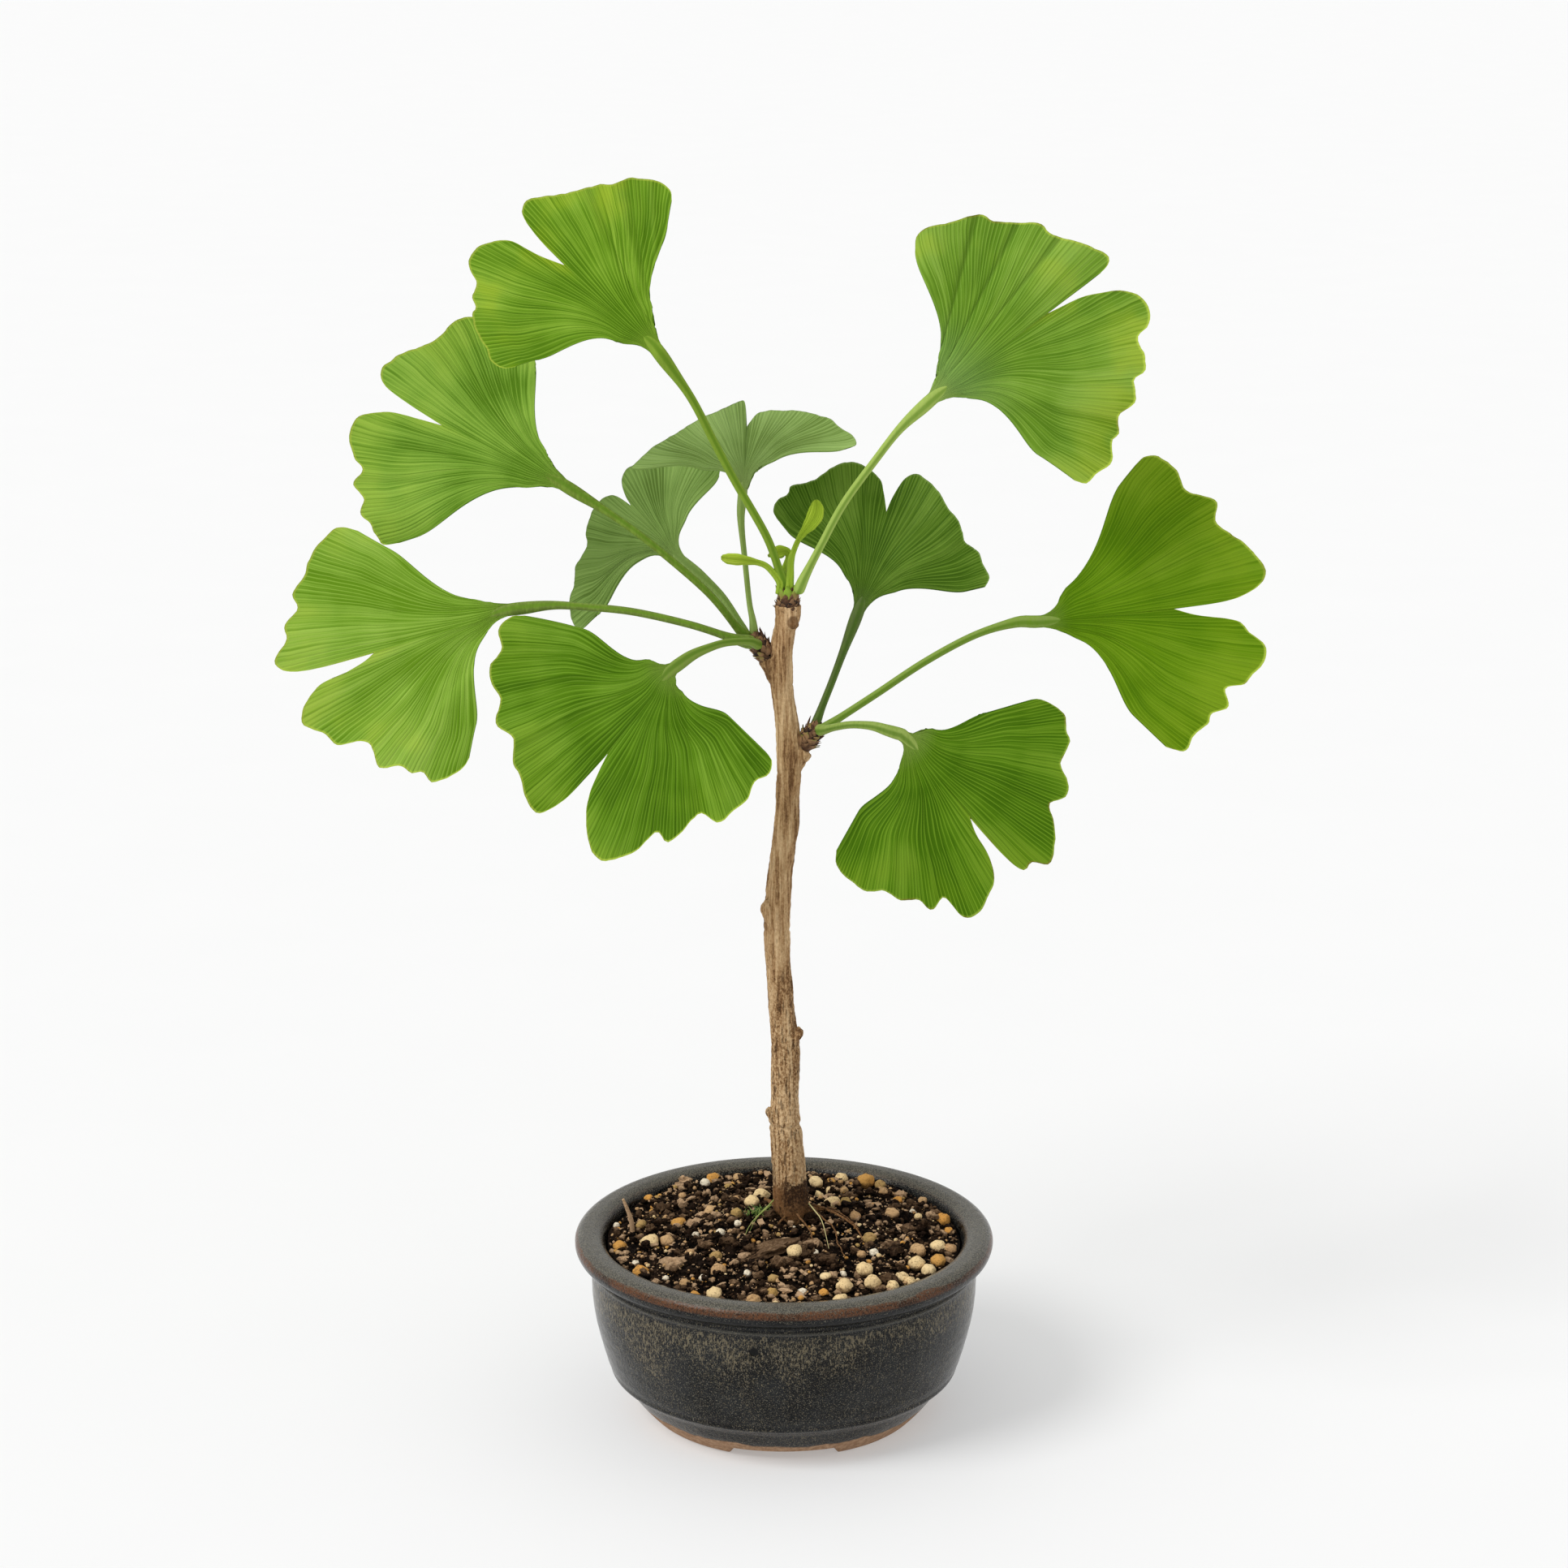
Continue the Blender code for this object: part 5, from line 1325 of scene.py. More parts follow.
    def roughen(self, mesh: bpy.types.Mesh) -> None:
        """Move the skin's points: long fibres, low swellings, and rings at old bud scars.

        Args:
            mesh: The skin's mesh.
        """
        moved = []
        for corner in mesh.vertices:
            place = corner.co / MM
            fibre = noise.noise(Vector((place.x * 1.3, place.y * 1.3, place.z * 0.1)))
            fine = noise.noise(Vector((place.x * 2.4, place.y * 2.4, place.z * 0.9 + 40)))
            swell = noise.noise(Vector((place.x * 0.35, place.y * 0.35, place.z * 0.16 + 80)))
            depth = 0.24 * fibre + 0.13 * fine + 0.22 * swell
            for height, rise, wide in self.rings:
                tilt = place.z - height + 0.25 * sin(place.x)
                depth += rise * exp(-(tilt / wide) ** 2)
            moved.append(corner.co + corner.normal * depth * MM)
        for corner, place in zip(mesh.vertices, moved):
            corner.co = place
        mesh.update()


@dataclass(frozen=True)
class ScaleFinish:
    """Dry dark brown bud scales with paler torn edges."""

    def make(self) -> Material:
        """Make the material; tone runs from near black at 0 to green at 1.

        Returns:
            The new material.
        """
        made = Finish("bud_scales", Specular_IOR_Level=0.3)
        tone = made.calc("MULTIPLY_ADD", made.noise(made.position(), 1.4, 3), 0.2, made.value("tone"))
        skin = made.ramp(tone, (0.1, (0.014, 0.007, 0.004)), (0.3, (0.095, 0.042, 0.018)),
                         (0.62, (0.33, 0.185, 0.085)), (0.76, (0.25, 0.22, 0.045)),
                         (0.92, (0.23, 0.37, 0.03)))
        made.shade("Base Color", skin)
        grain = made.noise(made.position((1, 1, 0.4)), 4, 3)
        made.shade("Roughness", made.rise(grain, 0.3, 0.7, 0.85, 0.6))
        made.bump(grain, 0.15)
        return made.material


@dataclass(frozen=True)
class Scale:
    """One bud scale on a spur: degrees round it, height along it, distance from its axis, and shape."""

    angle: float
    height: float
    out: float
    length: float
    half: float
    tone: float
    lean: float = 0.0
    ragged: float = 0.1
    thick: float = 0.17


@dataclass
class Spur:
    """A knob of old bud scales from which leaves grow."""

    name: str
    middle: tuple
    radius: float
    growth: tuple
    low: float
    high: float
    rows: int
    tones: tuple = (0.05, 0.14, 0.24, 0.36, 0.48)
    ragged: float = 0.8
    spikes: int = 4
    sheaths: tuple = ()

    def make(self, rng: random.Random) -> Thing:
        """Make the spur: a near-black core that stands for the shade in the gaps between scales, overlapping
        rows of ragged scales, green sheaths and dry spikes.

        Args:
            rng: The seeded random source.

        Returns:
            The spur's piece.
        """
        shape = Shape()
        growth = Vector(self.growth).normalized()
        side = Vector((0, 1, 0)).cross(growth).normalized()
        turn = Matrix((side, growth.cross(side), growth)).transposed()
        core = Vector((self.radius * 0.8, self.radius * 0.8, (self.high - self.low) * 0.52))
        middle = Vector(self.middle) + growth * (self.high + self.low) / 2
        # Painted shade: the near-black core shows as the dark gaps between the scales.
        Lump(4).add_to(shape, middle, core, turn, 0.25, 2.0, 3.0, tone=0.02)
        for scale in (*self.dry_scales(rng), *self.sheaths):
            self.add_scale(shape, turn, scale, rng)
        for _ in range(self.spikes):
            self.add_spike(shape, turn, rng)
        return install(shape.build(self.name + "_scales", ScaleFinish().make()), Slot.SCALES, self.name)

    def dry_scales(self, rng: random.Random) -> list[Scale]:
        """Give the rows of dry scales, from the lowest to the highest.

        Args:
            rng: The seeded random source.

        Returns:
            The scales.
        """
        scales = []
        for row in range(self.rows):
            share = row / (self.rows - 1)
            height = self.low + (self.high - self.low) * share
            wide = self.radius * sqrt(max(0.15, 1 - (0.62 * (2 * share - 1)) ** 2)) * 0.84
            for index in range(9):
                angle = 40 * (index + 0.5 * (row % 2)) + rng.uniform(-14, 14)
                scales.append(Scale(angle, height, wide, rng.uniform(1.5, 2.6), rng.uniform(0.8, 1.15),
                                    rng.choice(self.tones), 0.3 - 0.7 * share, self.ragged))
        return scales

    def add_scale(self, shape: Shape, turn: Matrix, scale: Scale, rng: random.Random) -> None:
        """Add one scale whose torn tip stands off the knob.

        Args:
            shape: The shape that gets the scale.
            turn: The spur's rotation.
            scale: The scale.
            rng: The seeded random source.
        """
        angle = radians(scale.angle)
        outward = Vector((cos(angle), sin(angle), 0))
        beside = Vector((-sin(angle), cos(angle), 0))
        curl = rng.uniform(0.2, 1.0) * scale.ragged
        skew = rng.uniform(-0.6, 0.6) * scale.ragged
        seed = Vector((rng.uniform(0, 50), 0, 0))
        rows, width = 8, 7
        front, back = [], []
        for row in range(rows):
            t = row / (rows - 1)
            reach = scale.half * (1 - 0.88 * t ** 2.6) * (0.8 + 0.2 * sin(3.1 * t))
            for step in range(width):
                s = 2 * step / (width - 1) - 1
                torn = noise.noise(Vector((t * 2.5, s * 1.6, 0)) + seed) * 0.45 * scale.ragged
                rise = Vector((0, 0, scale.height + scale.length * (t - 0.35) + torn * t))
                out = scale.out + scale.lean * scale.length * t + curl * t ** 2.4 - 0.35 * s * s * reach
                out += torn * 0.6
                point = rise + outward * out + beside * (reach * s * (1 + torn) + skew * t * t)
                thick = scale.thick * (1 - 0.6 * t) * sqrt(max(0.05, 1 - s * s))
                front.append(Vector(self.middle) + turn @ (point + outward * thick))
                back.append(Vector(self.middle) + turn @ (point - outward * thick))
        tones = [scale.tone - 0.1 + 0.34 * (index // width) / rows for index in range(rows * width)]
        one = shape.add_points(front, tone=tones)
        other = shape.add_points(back, tone=list(tones))
        shape.add_shell(one, other, rows, width)

    def add_spike(self, shape: Shape, turn: Matrix, rng: random.Random) -> None:
        """Add one dry thread that sticks out of the scales.

        Args:
            shape: The shape that gets the thread.
            turn: The spur's rotation.
            rng: The seeded random source.
        """
        angle = rng.uniform(0, 2 * pi)
        out = Vector((cos(angle), sin(angle), 0))
        start = out * self.radius * 0.75 + Vector((0, 0, self.high * 0.6))
        end = start + out * rng.uniform(0.3, 0.8) + Vector((0, 0, rng.uniform(1.2, 2.4)))
        path = [Vector(self.middle) + turn @ start.lerp(end, share) for share in (0, 0.35, 0.7, 1)]
        sweep(shape, smooth_stem(Stem(path, [0.3, 0.24, 0.16, 0.06]), 8), 8, tone=rng.uniform(0.1, 0.35))


SPURS = [
    Spur("spur_left", (-5.7, 4, 190.9), 2.7, (-0.55, 0, 0.83), -3.2, 2.4, 6),
    Spur("spur_right", (6.5, 4, 169.4), 2.8, (0.6, 0, 0.8), -3.0, 2.0, 6),
    Spur("spur_top", (0.9, 4, 202.6), 3.1, (0, 0, 1), -4.2, 0.9, 6, tones=(0.06, 0.16, 0.26, 0.36),
         ragged=0.75, spikes=1, sheaths=(
             Scale(-92, 0.5, 1.85, 3.8, 1.45, 0.74, 0.02, thick=0.5),
             Scale(-150, 0.5, 1.95, 3.4, 1.3, 0.68, 0.05, thick=0.5),
             Scale(-38, 0.6, 2.0, 3.0, 1.2, 0.62, 0.1, thick=0.5),
             Scale(-10, 0.2, 2.4, 2.4, 1.1, 0.4, 0.08, thick=0.3),
             Scale(35, 0.5, 1.9, 3.4, 1.3, 0.7, 0.05, thick=0.5),
             Scale(95, 0.5, 1.8, 3.4, 1.4, 0.68, 0.02, thick=0.5),
             Scale(165, 0.4, 2.1, 2.8, 1.3, 0.6, 0.05, thick=0.4))),
]


@dataclass(frozen=True)
class GlazeFinish:
    """Near-black stoneware glaze: tan flecks run down from the shoulder, the rim breaks to rust."""

    slate: Colour = (0.0105, 0.0116, 0.0128)
    night: Colour = (0.0006, 0.0007, 0.0012)
    runs: Colour = (0.16, 0.132, 0.082)
    salt: Colour = (0.215, 0.195, 0.145)
    rust: Colour = (0.118, 0.046, 0.018)
    clay: Colour = (0.43, 0.275, 0.17)
    # Pale glaze of the rim top, and the painted highlight of the ring line.
    pale_glaze_and_highlight: Colour = (0.092, 0.088, 0.074)
    black: Colour = (0.0015, 0.0015, 0.0015)
    glaze_ends: float = 4.9
    pit: tuple = (-7.0, -46.5, 33.4)

    def make(self) -> Material:
        """Make the material.

        Returns:
            The new material.
        """
        made = Finish("glaze", IOR=1.26)
        place = made.position()
        across, depth, height = made.parts(place)
        radius = made.calc("SQRT", made.total((made.times(across, across), 1),
                                              (made.times(depth, depth), 1)))
        cloud = made.noise(place, 0.09, 3)
        grain = made.noise(place, 2.2, 3, 0.75)
        skin = made.mix(made.rise(made.total((cloud, 1), (grain, 0.9)), 0.8, 1.08), self.night, self.slate)
        skin = made.mix(self.flecks(made, height), skin, self.runs)
        # Painted highlight: a thin pale line along the ridge under the rim.
        line = made.times(made.rise(height, 37.4, 37.8), made.rise(height, 38.5, 38.1, 0, 0.5))
        # The rim's top is paler: partly the glaze's own mottled tone, partly a painted sheen.
        top = made.times(made.rise(height, 44.4, 45), made.rise(grain, 0.3, 0.66, 0.3, 0.95))
        skin = made.mix(made.calc("MAXIMUM", top, line), skin, self.pale_glaze_and_highlight)
        skin = made.mix(self.salted(made, height), skin, self.salt)
        # Painted shade: a near-black band on the underside of the rim's lip.
        under = made.times(made.rise(height, 39.9, 40.8), made.rise(height, 42.6, 41.6))
        skin = made.mix(made.times(under, 0.9), skin, self.black)
        skin = made.mix(self.worn(made, radius, height, cloud, grain), skin, self.rust)
        pit = self.pitted(made, place)
        skin = made.mix(pit, skin, self.black)
        bare = self.unglazed(made, place, height)
        clay = made.mix(made.rise(made.noise(place, 0.9, 4, 0.7), 0.35, 0.7), (0.26, 0.15, 0.085),
                        self.clay)
        made.shade("Base Color", made.mix(bare, skin, clay))
        made.shade("Roughness", made.rise(made.total((bare, 1), (grain, 0.5)), 0.15, 1, 0.13, 0.88))
        made.bump(made.total((made.noise(place, 0.6, 2), 1), (grain, 0.5), (pit, -4.0)), 0.14)
        return made.material

    def flecks(self, made: Finish, height: Value) -> Socket:
        """Give the tan flecks: long and dense under the shoulder, small and sparse near the foot.

        Args:
            made: The material that gets the nodes.
            height: The height over the ground.

        Returns:
            The share of tan, from 0 to 1.
        """
        long_ones = made.noise(made.position((1, 1, 0.42)), 2, 4, 0.78)
        dots = made.noise(made.position((1, 1, 0.8)), 2.6, 3, 0.7)
        broad = made.noise(made.position((1, 1, 0.6)), 0.1, 3)
        level = made.total((height, 1), (made.less(broad, 0.5), 34))
        dense = made.times(made.rise(level, 19, 37), made.rise(height, 38.4, 35.6))
        low = made.rise(made.total((long_ones, 1), (dense, 0.135)), 0.628, 0.705, 0, 0.9)
        small = made.rise(made.total((dots, 1), (broad, 0.2)), 0.685, 0.77, 0, 0.8)
        small = made.times(small, made.rise(height, 41, 38))
        return made.calc("MAXIMUM", low, small)

    def salted(self, made: Finish, height: Value) -> Socket:
        """Give the fine pale specks, which are densest on top of the rim.

        Args:
            made: The material that gets the nodes.
            height: The height over the ground.

        Returns:
            The share of specks, from 0 to 1.
        """
        fine = made.noise(made.position(), 3.6, 2, 0.6)
        rim = made.rise(height, 43.4, 44.8)
        return made.times(made.rise(made.total((fine, 1), (rim, 0.09)), 0.56, 0.68), 0.62)

    def worn(self, made: Finish, radius: Value, height: Value, cloud: Value, grain: Value) -> Socket:
        """Give the rust-coloured breaks on the rim's outer edge and inner lip.

        Args:
            made: The material that gets the nodes.
            radius: The distance from the pot's axis.
            height: The height over the ground.
            cloud: A broad noise.
            grain: A fine noise.

        Returns:
            The share of rust, from 0 to 1.
        """
        ragged = made.total((radius, 1), (made.less(cloud, 0.5), 1.6))
        outer = made.times(made.rise(ragged, 50.3, 50.7), made.rise(height, 42.9, 43.5))
        inner = made.times(made.rise(ragged, 45.2, 44.7), made.rise(height, 44.2, 44.8, 0, 0.22))
        worn = made.times(made.calc("MAXIMUM", outer, inner), made.rise(grain, 0.36, 0.6, 0.15, 1))
        return made.times(worn, made.rise(cloud, 0.34, 0.54, 0.35, 0.95))

    def pitted(self, made: Finish, place: Value) -> Socket:
        """Give the one deep pit in the glaze."""
        return made.rise(made.distance(place, self.pit), 1.25, 0.85)

    def unglazed(self, made: Finish, place: Value, height: Value) -> Socket:
        """Give the bare clay below the glaze's wavy lower edge."""
        wave = made.less(made.noise(place, 0.11, 3), 0.5)
        return made.rise(made.total((height, 1), (wave, 3.4)), self.glaze_ends + 0.35,
                         self.glaze_ends - 0.35)


@dataclass
class Pot:
    """The turned pot: a bowl with a flared rim, ring lines, low feet and a drain hole."""

    around: int = 256
    rim: tuple = ((46.8, 45.8), (49.2, 45.7), (50.6, 44.8), (51.1, 43.3), (50.6, 41.6), (49.2, 40.4),
                  (47.4, 39.6))
    body: tuple = ((47.0, 38.8), (47.4, 37.9), (47.0, 37.0), (47.1, 33.0), (46.9, 29.0), (46.2, 24.2),
                   (44.9, 18.8), (43.6, 14.2), (42.9, 12.4), (42.7, 11.4), (42.2, 10.7), (41.2, 10.0),
                   (40.2, 9.3))
    foot: tuple = ((39.6, 8.6), (38.8, 7.4), (37.6, 5.6), (36.0, 3.6), (34.4, 1.8), (33.2, 0.6), (32.0, 0.0))
    under: tuple = ((29.5, 0.0), (27.6, 0.3), (26.7, 3.1), (20.0, 3.2), (6.4, 3.2), (6.0, 3.6), (6.0, 6.0))
    inside: tuple = ((6.6, 6.4), (20.0, 6.4), (33.0, 6.4), (35.2, 7.6), (39.4, 14.0), (42.2, 26.0),
                     (43.2, 38.0), (43.6, 43.0), (44.3, 44.4), (45.2, 45.4))

    def profile(self) -> list[Vector]:
        """Give the profile's points, all the way round the wall's section.

        Returns:
            The points, with x as the distance from the axis.
        """
        outside = [(radius, 0, height) for radius, height in (*self.rim, *self.body, *self.foot)]
        hidden = [(radius, 0, height) for radius, height in (*self.under, *self.inside, self.rim[0])]
        return catmull_rom(outside, 200) + catmull_rom(hidden, 70)[:-1]

    def foot_lift(self, turn: float) -> float:
        """Give how far the foot ring is cut away at an angle round the pot."""
        from_gap = abs(remainder(turn, pi / 2))
        return FOOT_HEIGHT * smoothstep(FOOT_GAP_HALF + 0.035, FOOT_GAP_HALF - 0.035, from_gap)

    def make(self) -> Thing:
        """Make the pot's piece in place of its CAD node.

        Returns:
            The pot's piece.
        """
        shape = Shape()
        profile = self.profile()
        points = []
        for step in range(self.around):
            turn = 2 * pi * step / self.around
            out = Vector((cos(turn), sin(turn), 0))
            lift = self.foot_lift(turn)
            for spot in profile:
                wobble = 0.12 * noise.noise(Vector((out.x * 1.6, out.y * 1.6, spot.z * 0.05)))
                wobble += 0.015 * sin(spot.z * 1.9 + 0.8 * sin(turn)) * smoothstep(9, 14, spot.z)
                wobble *= smoothstep(12, 30, spot.x)
                height = max(0.0, spot.z, min(lift, 3.2) if spot.x > 27.0 else 0.0)
                points.append(out * min(RIM_RADIUS, spot.x + wobble) + Vector((0, 0, height)))
        first = shape.add_points(points)
        count = len(profile)
        shape.add_grid(first, self.around, count, wrap=True, flip=True)
        last = first + (self.around - 1) * count
        for i in range(count):
            j = (i + 1) % count
            shape.faces.append((last + i, first + i, first + j, last + j))
        thing = shape.build("pot_glazed", GlazeFinish().make())
        turn_outward(thing.data)
        return install(thing, Slot.GLAZE, "pot")


def turn_outward(mesh: bpy.types.Mesh) -> None:
    """Turn all faces of a closed mesh outward.

    Args:
        mesh: The mesh, which is changed.
    """
    shape = bmesh.new()
    shape.from_mesh(mesh)
    bmesh.ops.recalc_face_normals(shape, faces=shape.faces)
    shape.to_mesh(mesh)
    shape.free()


class Tone(Enum):
    """Colours that a granule in the soil may have, as places on the granule ramp."""

    CREAM = 0.55
    BEIGE = 0.35
    ORANGE = 0.14
    WHITE = 0.92
    OLIVE = 0.24


@dataclass(frozen=True)
class Granule:
    """A granule that the photograph shows: its pixel, its half width in pixels and its tone."""

    across: float
    down: float
    half: float
    tone: Tone = Tone.CREAM


CREAM, BEIGE, ORANGE, WHITE, OLIVE = Tone
GRANULES = [Granule(*row) for row in (
    (763, 1526, 10, ORANGE), (787, 1564, 10, ORANGE), (801, 1525, 11), (822, 1521, 9, BEIGE),
    (790, 1503, 7, OLIVE), (874, 1446, 9, ORANGE), (869, 1455, 6, WHITE), (910, 1446, 7, BEIGE),
    (875, 1487, 9, BEIGE), (836, 1501, 9, ORANGE), (908, 1492, 8, OLIVE), (926, 1480, 9), (938, 1470, 10),
    (907, 1475, 6, BEIGE), (1005, 1455, 9), (1007, 1463, 8), (1025, 1474, 12), (1037, 1448, 8),
    (1067, 1452, 11, ORANGE), (1039, 1462, 6, BEIGE), (1053, 1486, 8, BEIGE), (1069, 1490, 8, ORANGE),
    (1099, 1494, 9, BEIGE), (1164, 1500, 10, ORANGE), (1071, 1516, 9, OLIVE), (979, 1543, 10),
    (885, 1559, 10, BEIGE), (850, 1539, 6, BEIGE), (882, 1541, 8, OLIVE), (783, 1551, 6, WHITE),
    (844, 1579, 7, BEIGE), (856, 1592, 7, ORANGE), (880, 1591, 10), (929, 1600, 9, BEIGE), (955, 1605, 6),
    (1017, 1572, 7), (1041, 1584, 10), (1037, 1599, 10), (1075, 1578, 11), (1065, 1563, 11),
    (1101, 1584, 8), (1111, 1569, 8), (1129, 1554, 11), (1144, 1563, 9), (1159, 1554, 10, ORANGE),
    (1125, 1578, 8), (1131, 1537, 10, BEIGE), (1156, 1533, 10), (1077, 1538, 6, WHITE),
    (1061, 1537, 6, BEIGE), (1015, 1588, 6, ORANGE), (1002, 1594, 5, ORANGE), (1039, 1561, 5, WHITE),
    (989, 1581, 6, WHITE), (921, 1565, 5, WHITE), (978, 1504, 4, WHITE), (857, 1516, 5, WHITE),
    (888, 1513, 6, WHITE), (909, 1503, 5, WHITE), (866, 1572, 5, WHITE), (953, 1571, 7, OLIVE),
    (951, 1590, 8, OLIVE), (1005, 1542, 4, WHITE), (1089, 1466, 6, BEIGE), (820, 1573, 4, WHITE),
    (758, 1508, 4, WHITE), (890, 1471, 5, BEIGE), (1125, 1484, 5, WHITE), (1142, 1476, 6, BEIGE),
    (1169, 1512, 6, ORANGE), (1172, 1536, 8, BEIGE), (1106, 1474, 6, ORANGE), (796, 1474, 6, ORANGE),
)]


@dataclass(frozen=True)
class Clod:
    """A piece of soil or bark that the photograph shows: its pixel, half width and half height in pixels."""

    across: float
    down: float
    half: float
    tall: float
    tone: float = 0.15


CLODS = [Clod(*row) for row in (
    (836, 1458, 8, 6, 0.62), (843, 1452, 8, 6, 0.7), (839, 1446, 6, 5, 0.6), (848, 1461, 5, 4, 0.55),
    (829, 1551, 17, 9, 0.42), (857, 1500, 10, 7, 0.52), (945, 1534, 30, 7, 0.2), (925, 1543, 18, 6, 0.16),
    (960, 1553, 13, 10, 0.22), (1002, 1533, 11, 8, 0.34), (996, 1542, 7, 6, 0.28), (1107, 1467, 9, 6, 0.58),
    (1073, 1489, 8, 4, 0.6), (1088, 1457, 7, 8, 0.36), (1020, 1552, 14, 7, 0.1), (900, 1528, 12, 7, 0.12),
    (1098, 1527, 13, 7, 0.14), (815, 1590, 12, 6, 0.12), (1118, 1508, 12, 7, 0.15),
    (968, 1580, 12, 6, 0.3), (870, 1530, 11, 7, 0.2), (1148, 1500, 8, 5, 0.4), (770, 1548, 8, 5, 0.46),
    (802, 1488, 11, 6, 0.14), (1046, 1470, 9, 6, 0.18),
)]


@dataclass(frozen=True)
class EarthFinish:
    """Dark moist potting soil."""

    def make(self) -> Material:
        """Make the material; tone runs from black at 0, the painted shade of gaps and hollows, to reddish
        bark bits at 1.

        Returns:
            The new material.
        """
        made = Finish("earth", Specular_IOR_Level=0.06)
        place = made.position()
        crumbs = made.noise(place, 0.9, 4, 0.72)
        # Painted shade: level makes each crumb lighter on top and darker below.
        tone = made.total((made.value("tone"), 1), (crumbs, 0.6), (made.value("level"), 0.16))
        skin = made.ramp(tone, (0.24, (0.0015, 0.0008, 0.0004)), (0.43, (0.024, 0.012, 0.006)),
                         (0.63, (0.14, 0.082, 0.043)), (0.92, (0.56, 0.37, 0.215)))
        made.shade("Base Color", skin)
        made.shade("Roughness", made.rise(crumbs, 0.35, 0.65, 0.98, 0.66))
        made.bump(made.total((crumbs, 1), (made.noise(place, 3, 3), 1)), 0.4)
        return made.material


@dataclass(frozen=True)
class GranuleFinish:
    """Fired clay and pumice granules with fine pores and darker undersides, partly soil stain and partly
    painted shade.
    """

    def make(self) -> Material:
        """Make the material; tone picks a place from olive and orange to cream and white.

        Returns:
            The new material.
        """
        made = Finish("granules", Specular_IOR_Level=0.1)
        place = made.position()
        skin = made.ramp(made.value("tone"), (0.12, (0.68, 0.33, 0.075)), (0.24, (0.44, 0.29, 0.1)),
                         (0.35, (0.54, 0.33, 0.16)), (0.55, (0.86, 0.64, 0.33)), (0.92, (0.86, 0.76, 0.58)))
        dirt_and_shade_noise = made.noise(place, 0.75, 4, 0.7)
        level = made.value("level")
        # Painted shade with soil stain: the lower part of each granule is darkened towards soil brown.
        below = made.rise(made.total((level, 1), (dirt_and_shade_noise, -1.4)), -0.45, -1.15, 0, 0.8)
        skin = made.mix(below, skin, (0.11, 0.052, 0.02))
        skin = made.mix(made.rise(dirt_and_shade_noise, 0.52, 0.7, 0, 0.6), skin, (0.2, 0.105, 0.045))
        pores = made.rise(made.cells(place, 2.2), 0.1, 0.34, 0.45, 0)
        made.shade("Base Color", made.mix(pores, skin, (0.26, 0.15, 0.065)))
        made.shade("Roughness", made.rise(dirt_and_shade_noise, 0.3, 0.7, 0.7, 0.95))
        made.bump(made.less(made.noise(place, 1.6, 3), pores), 0.3)
        return made.material


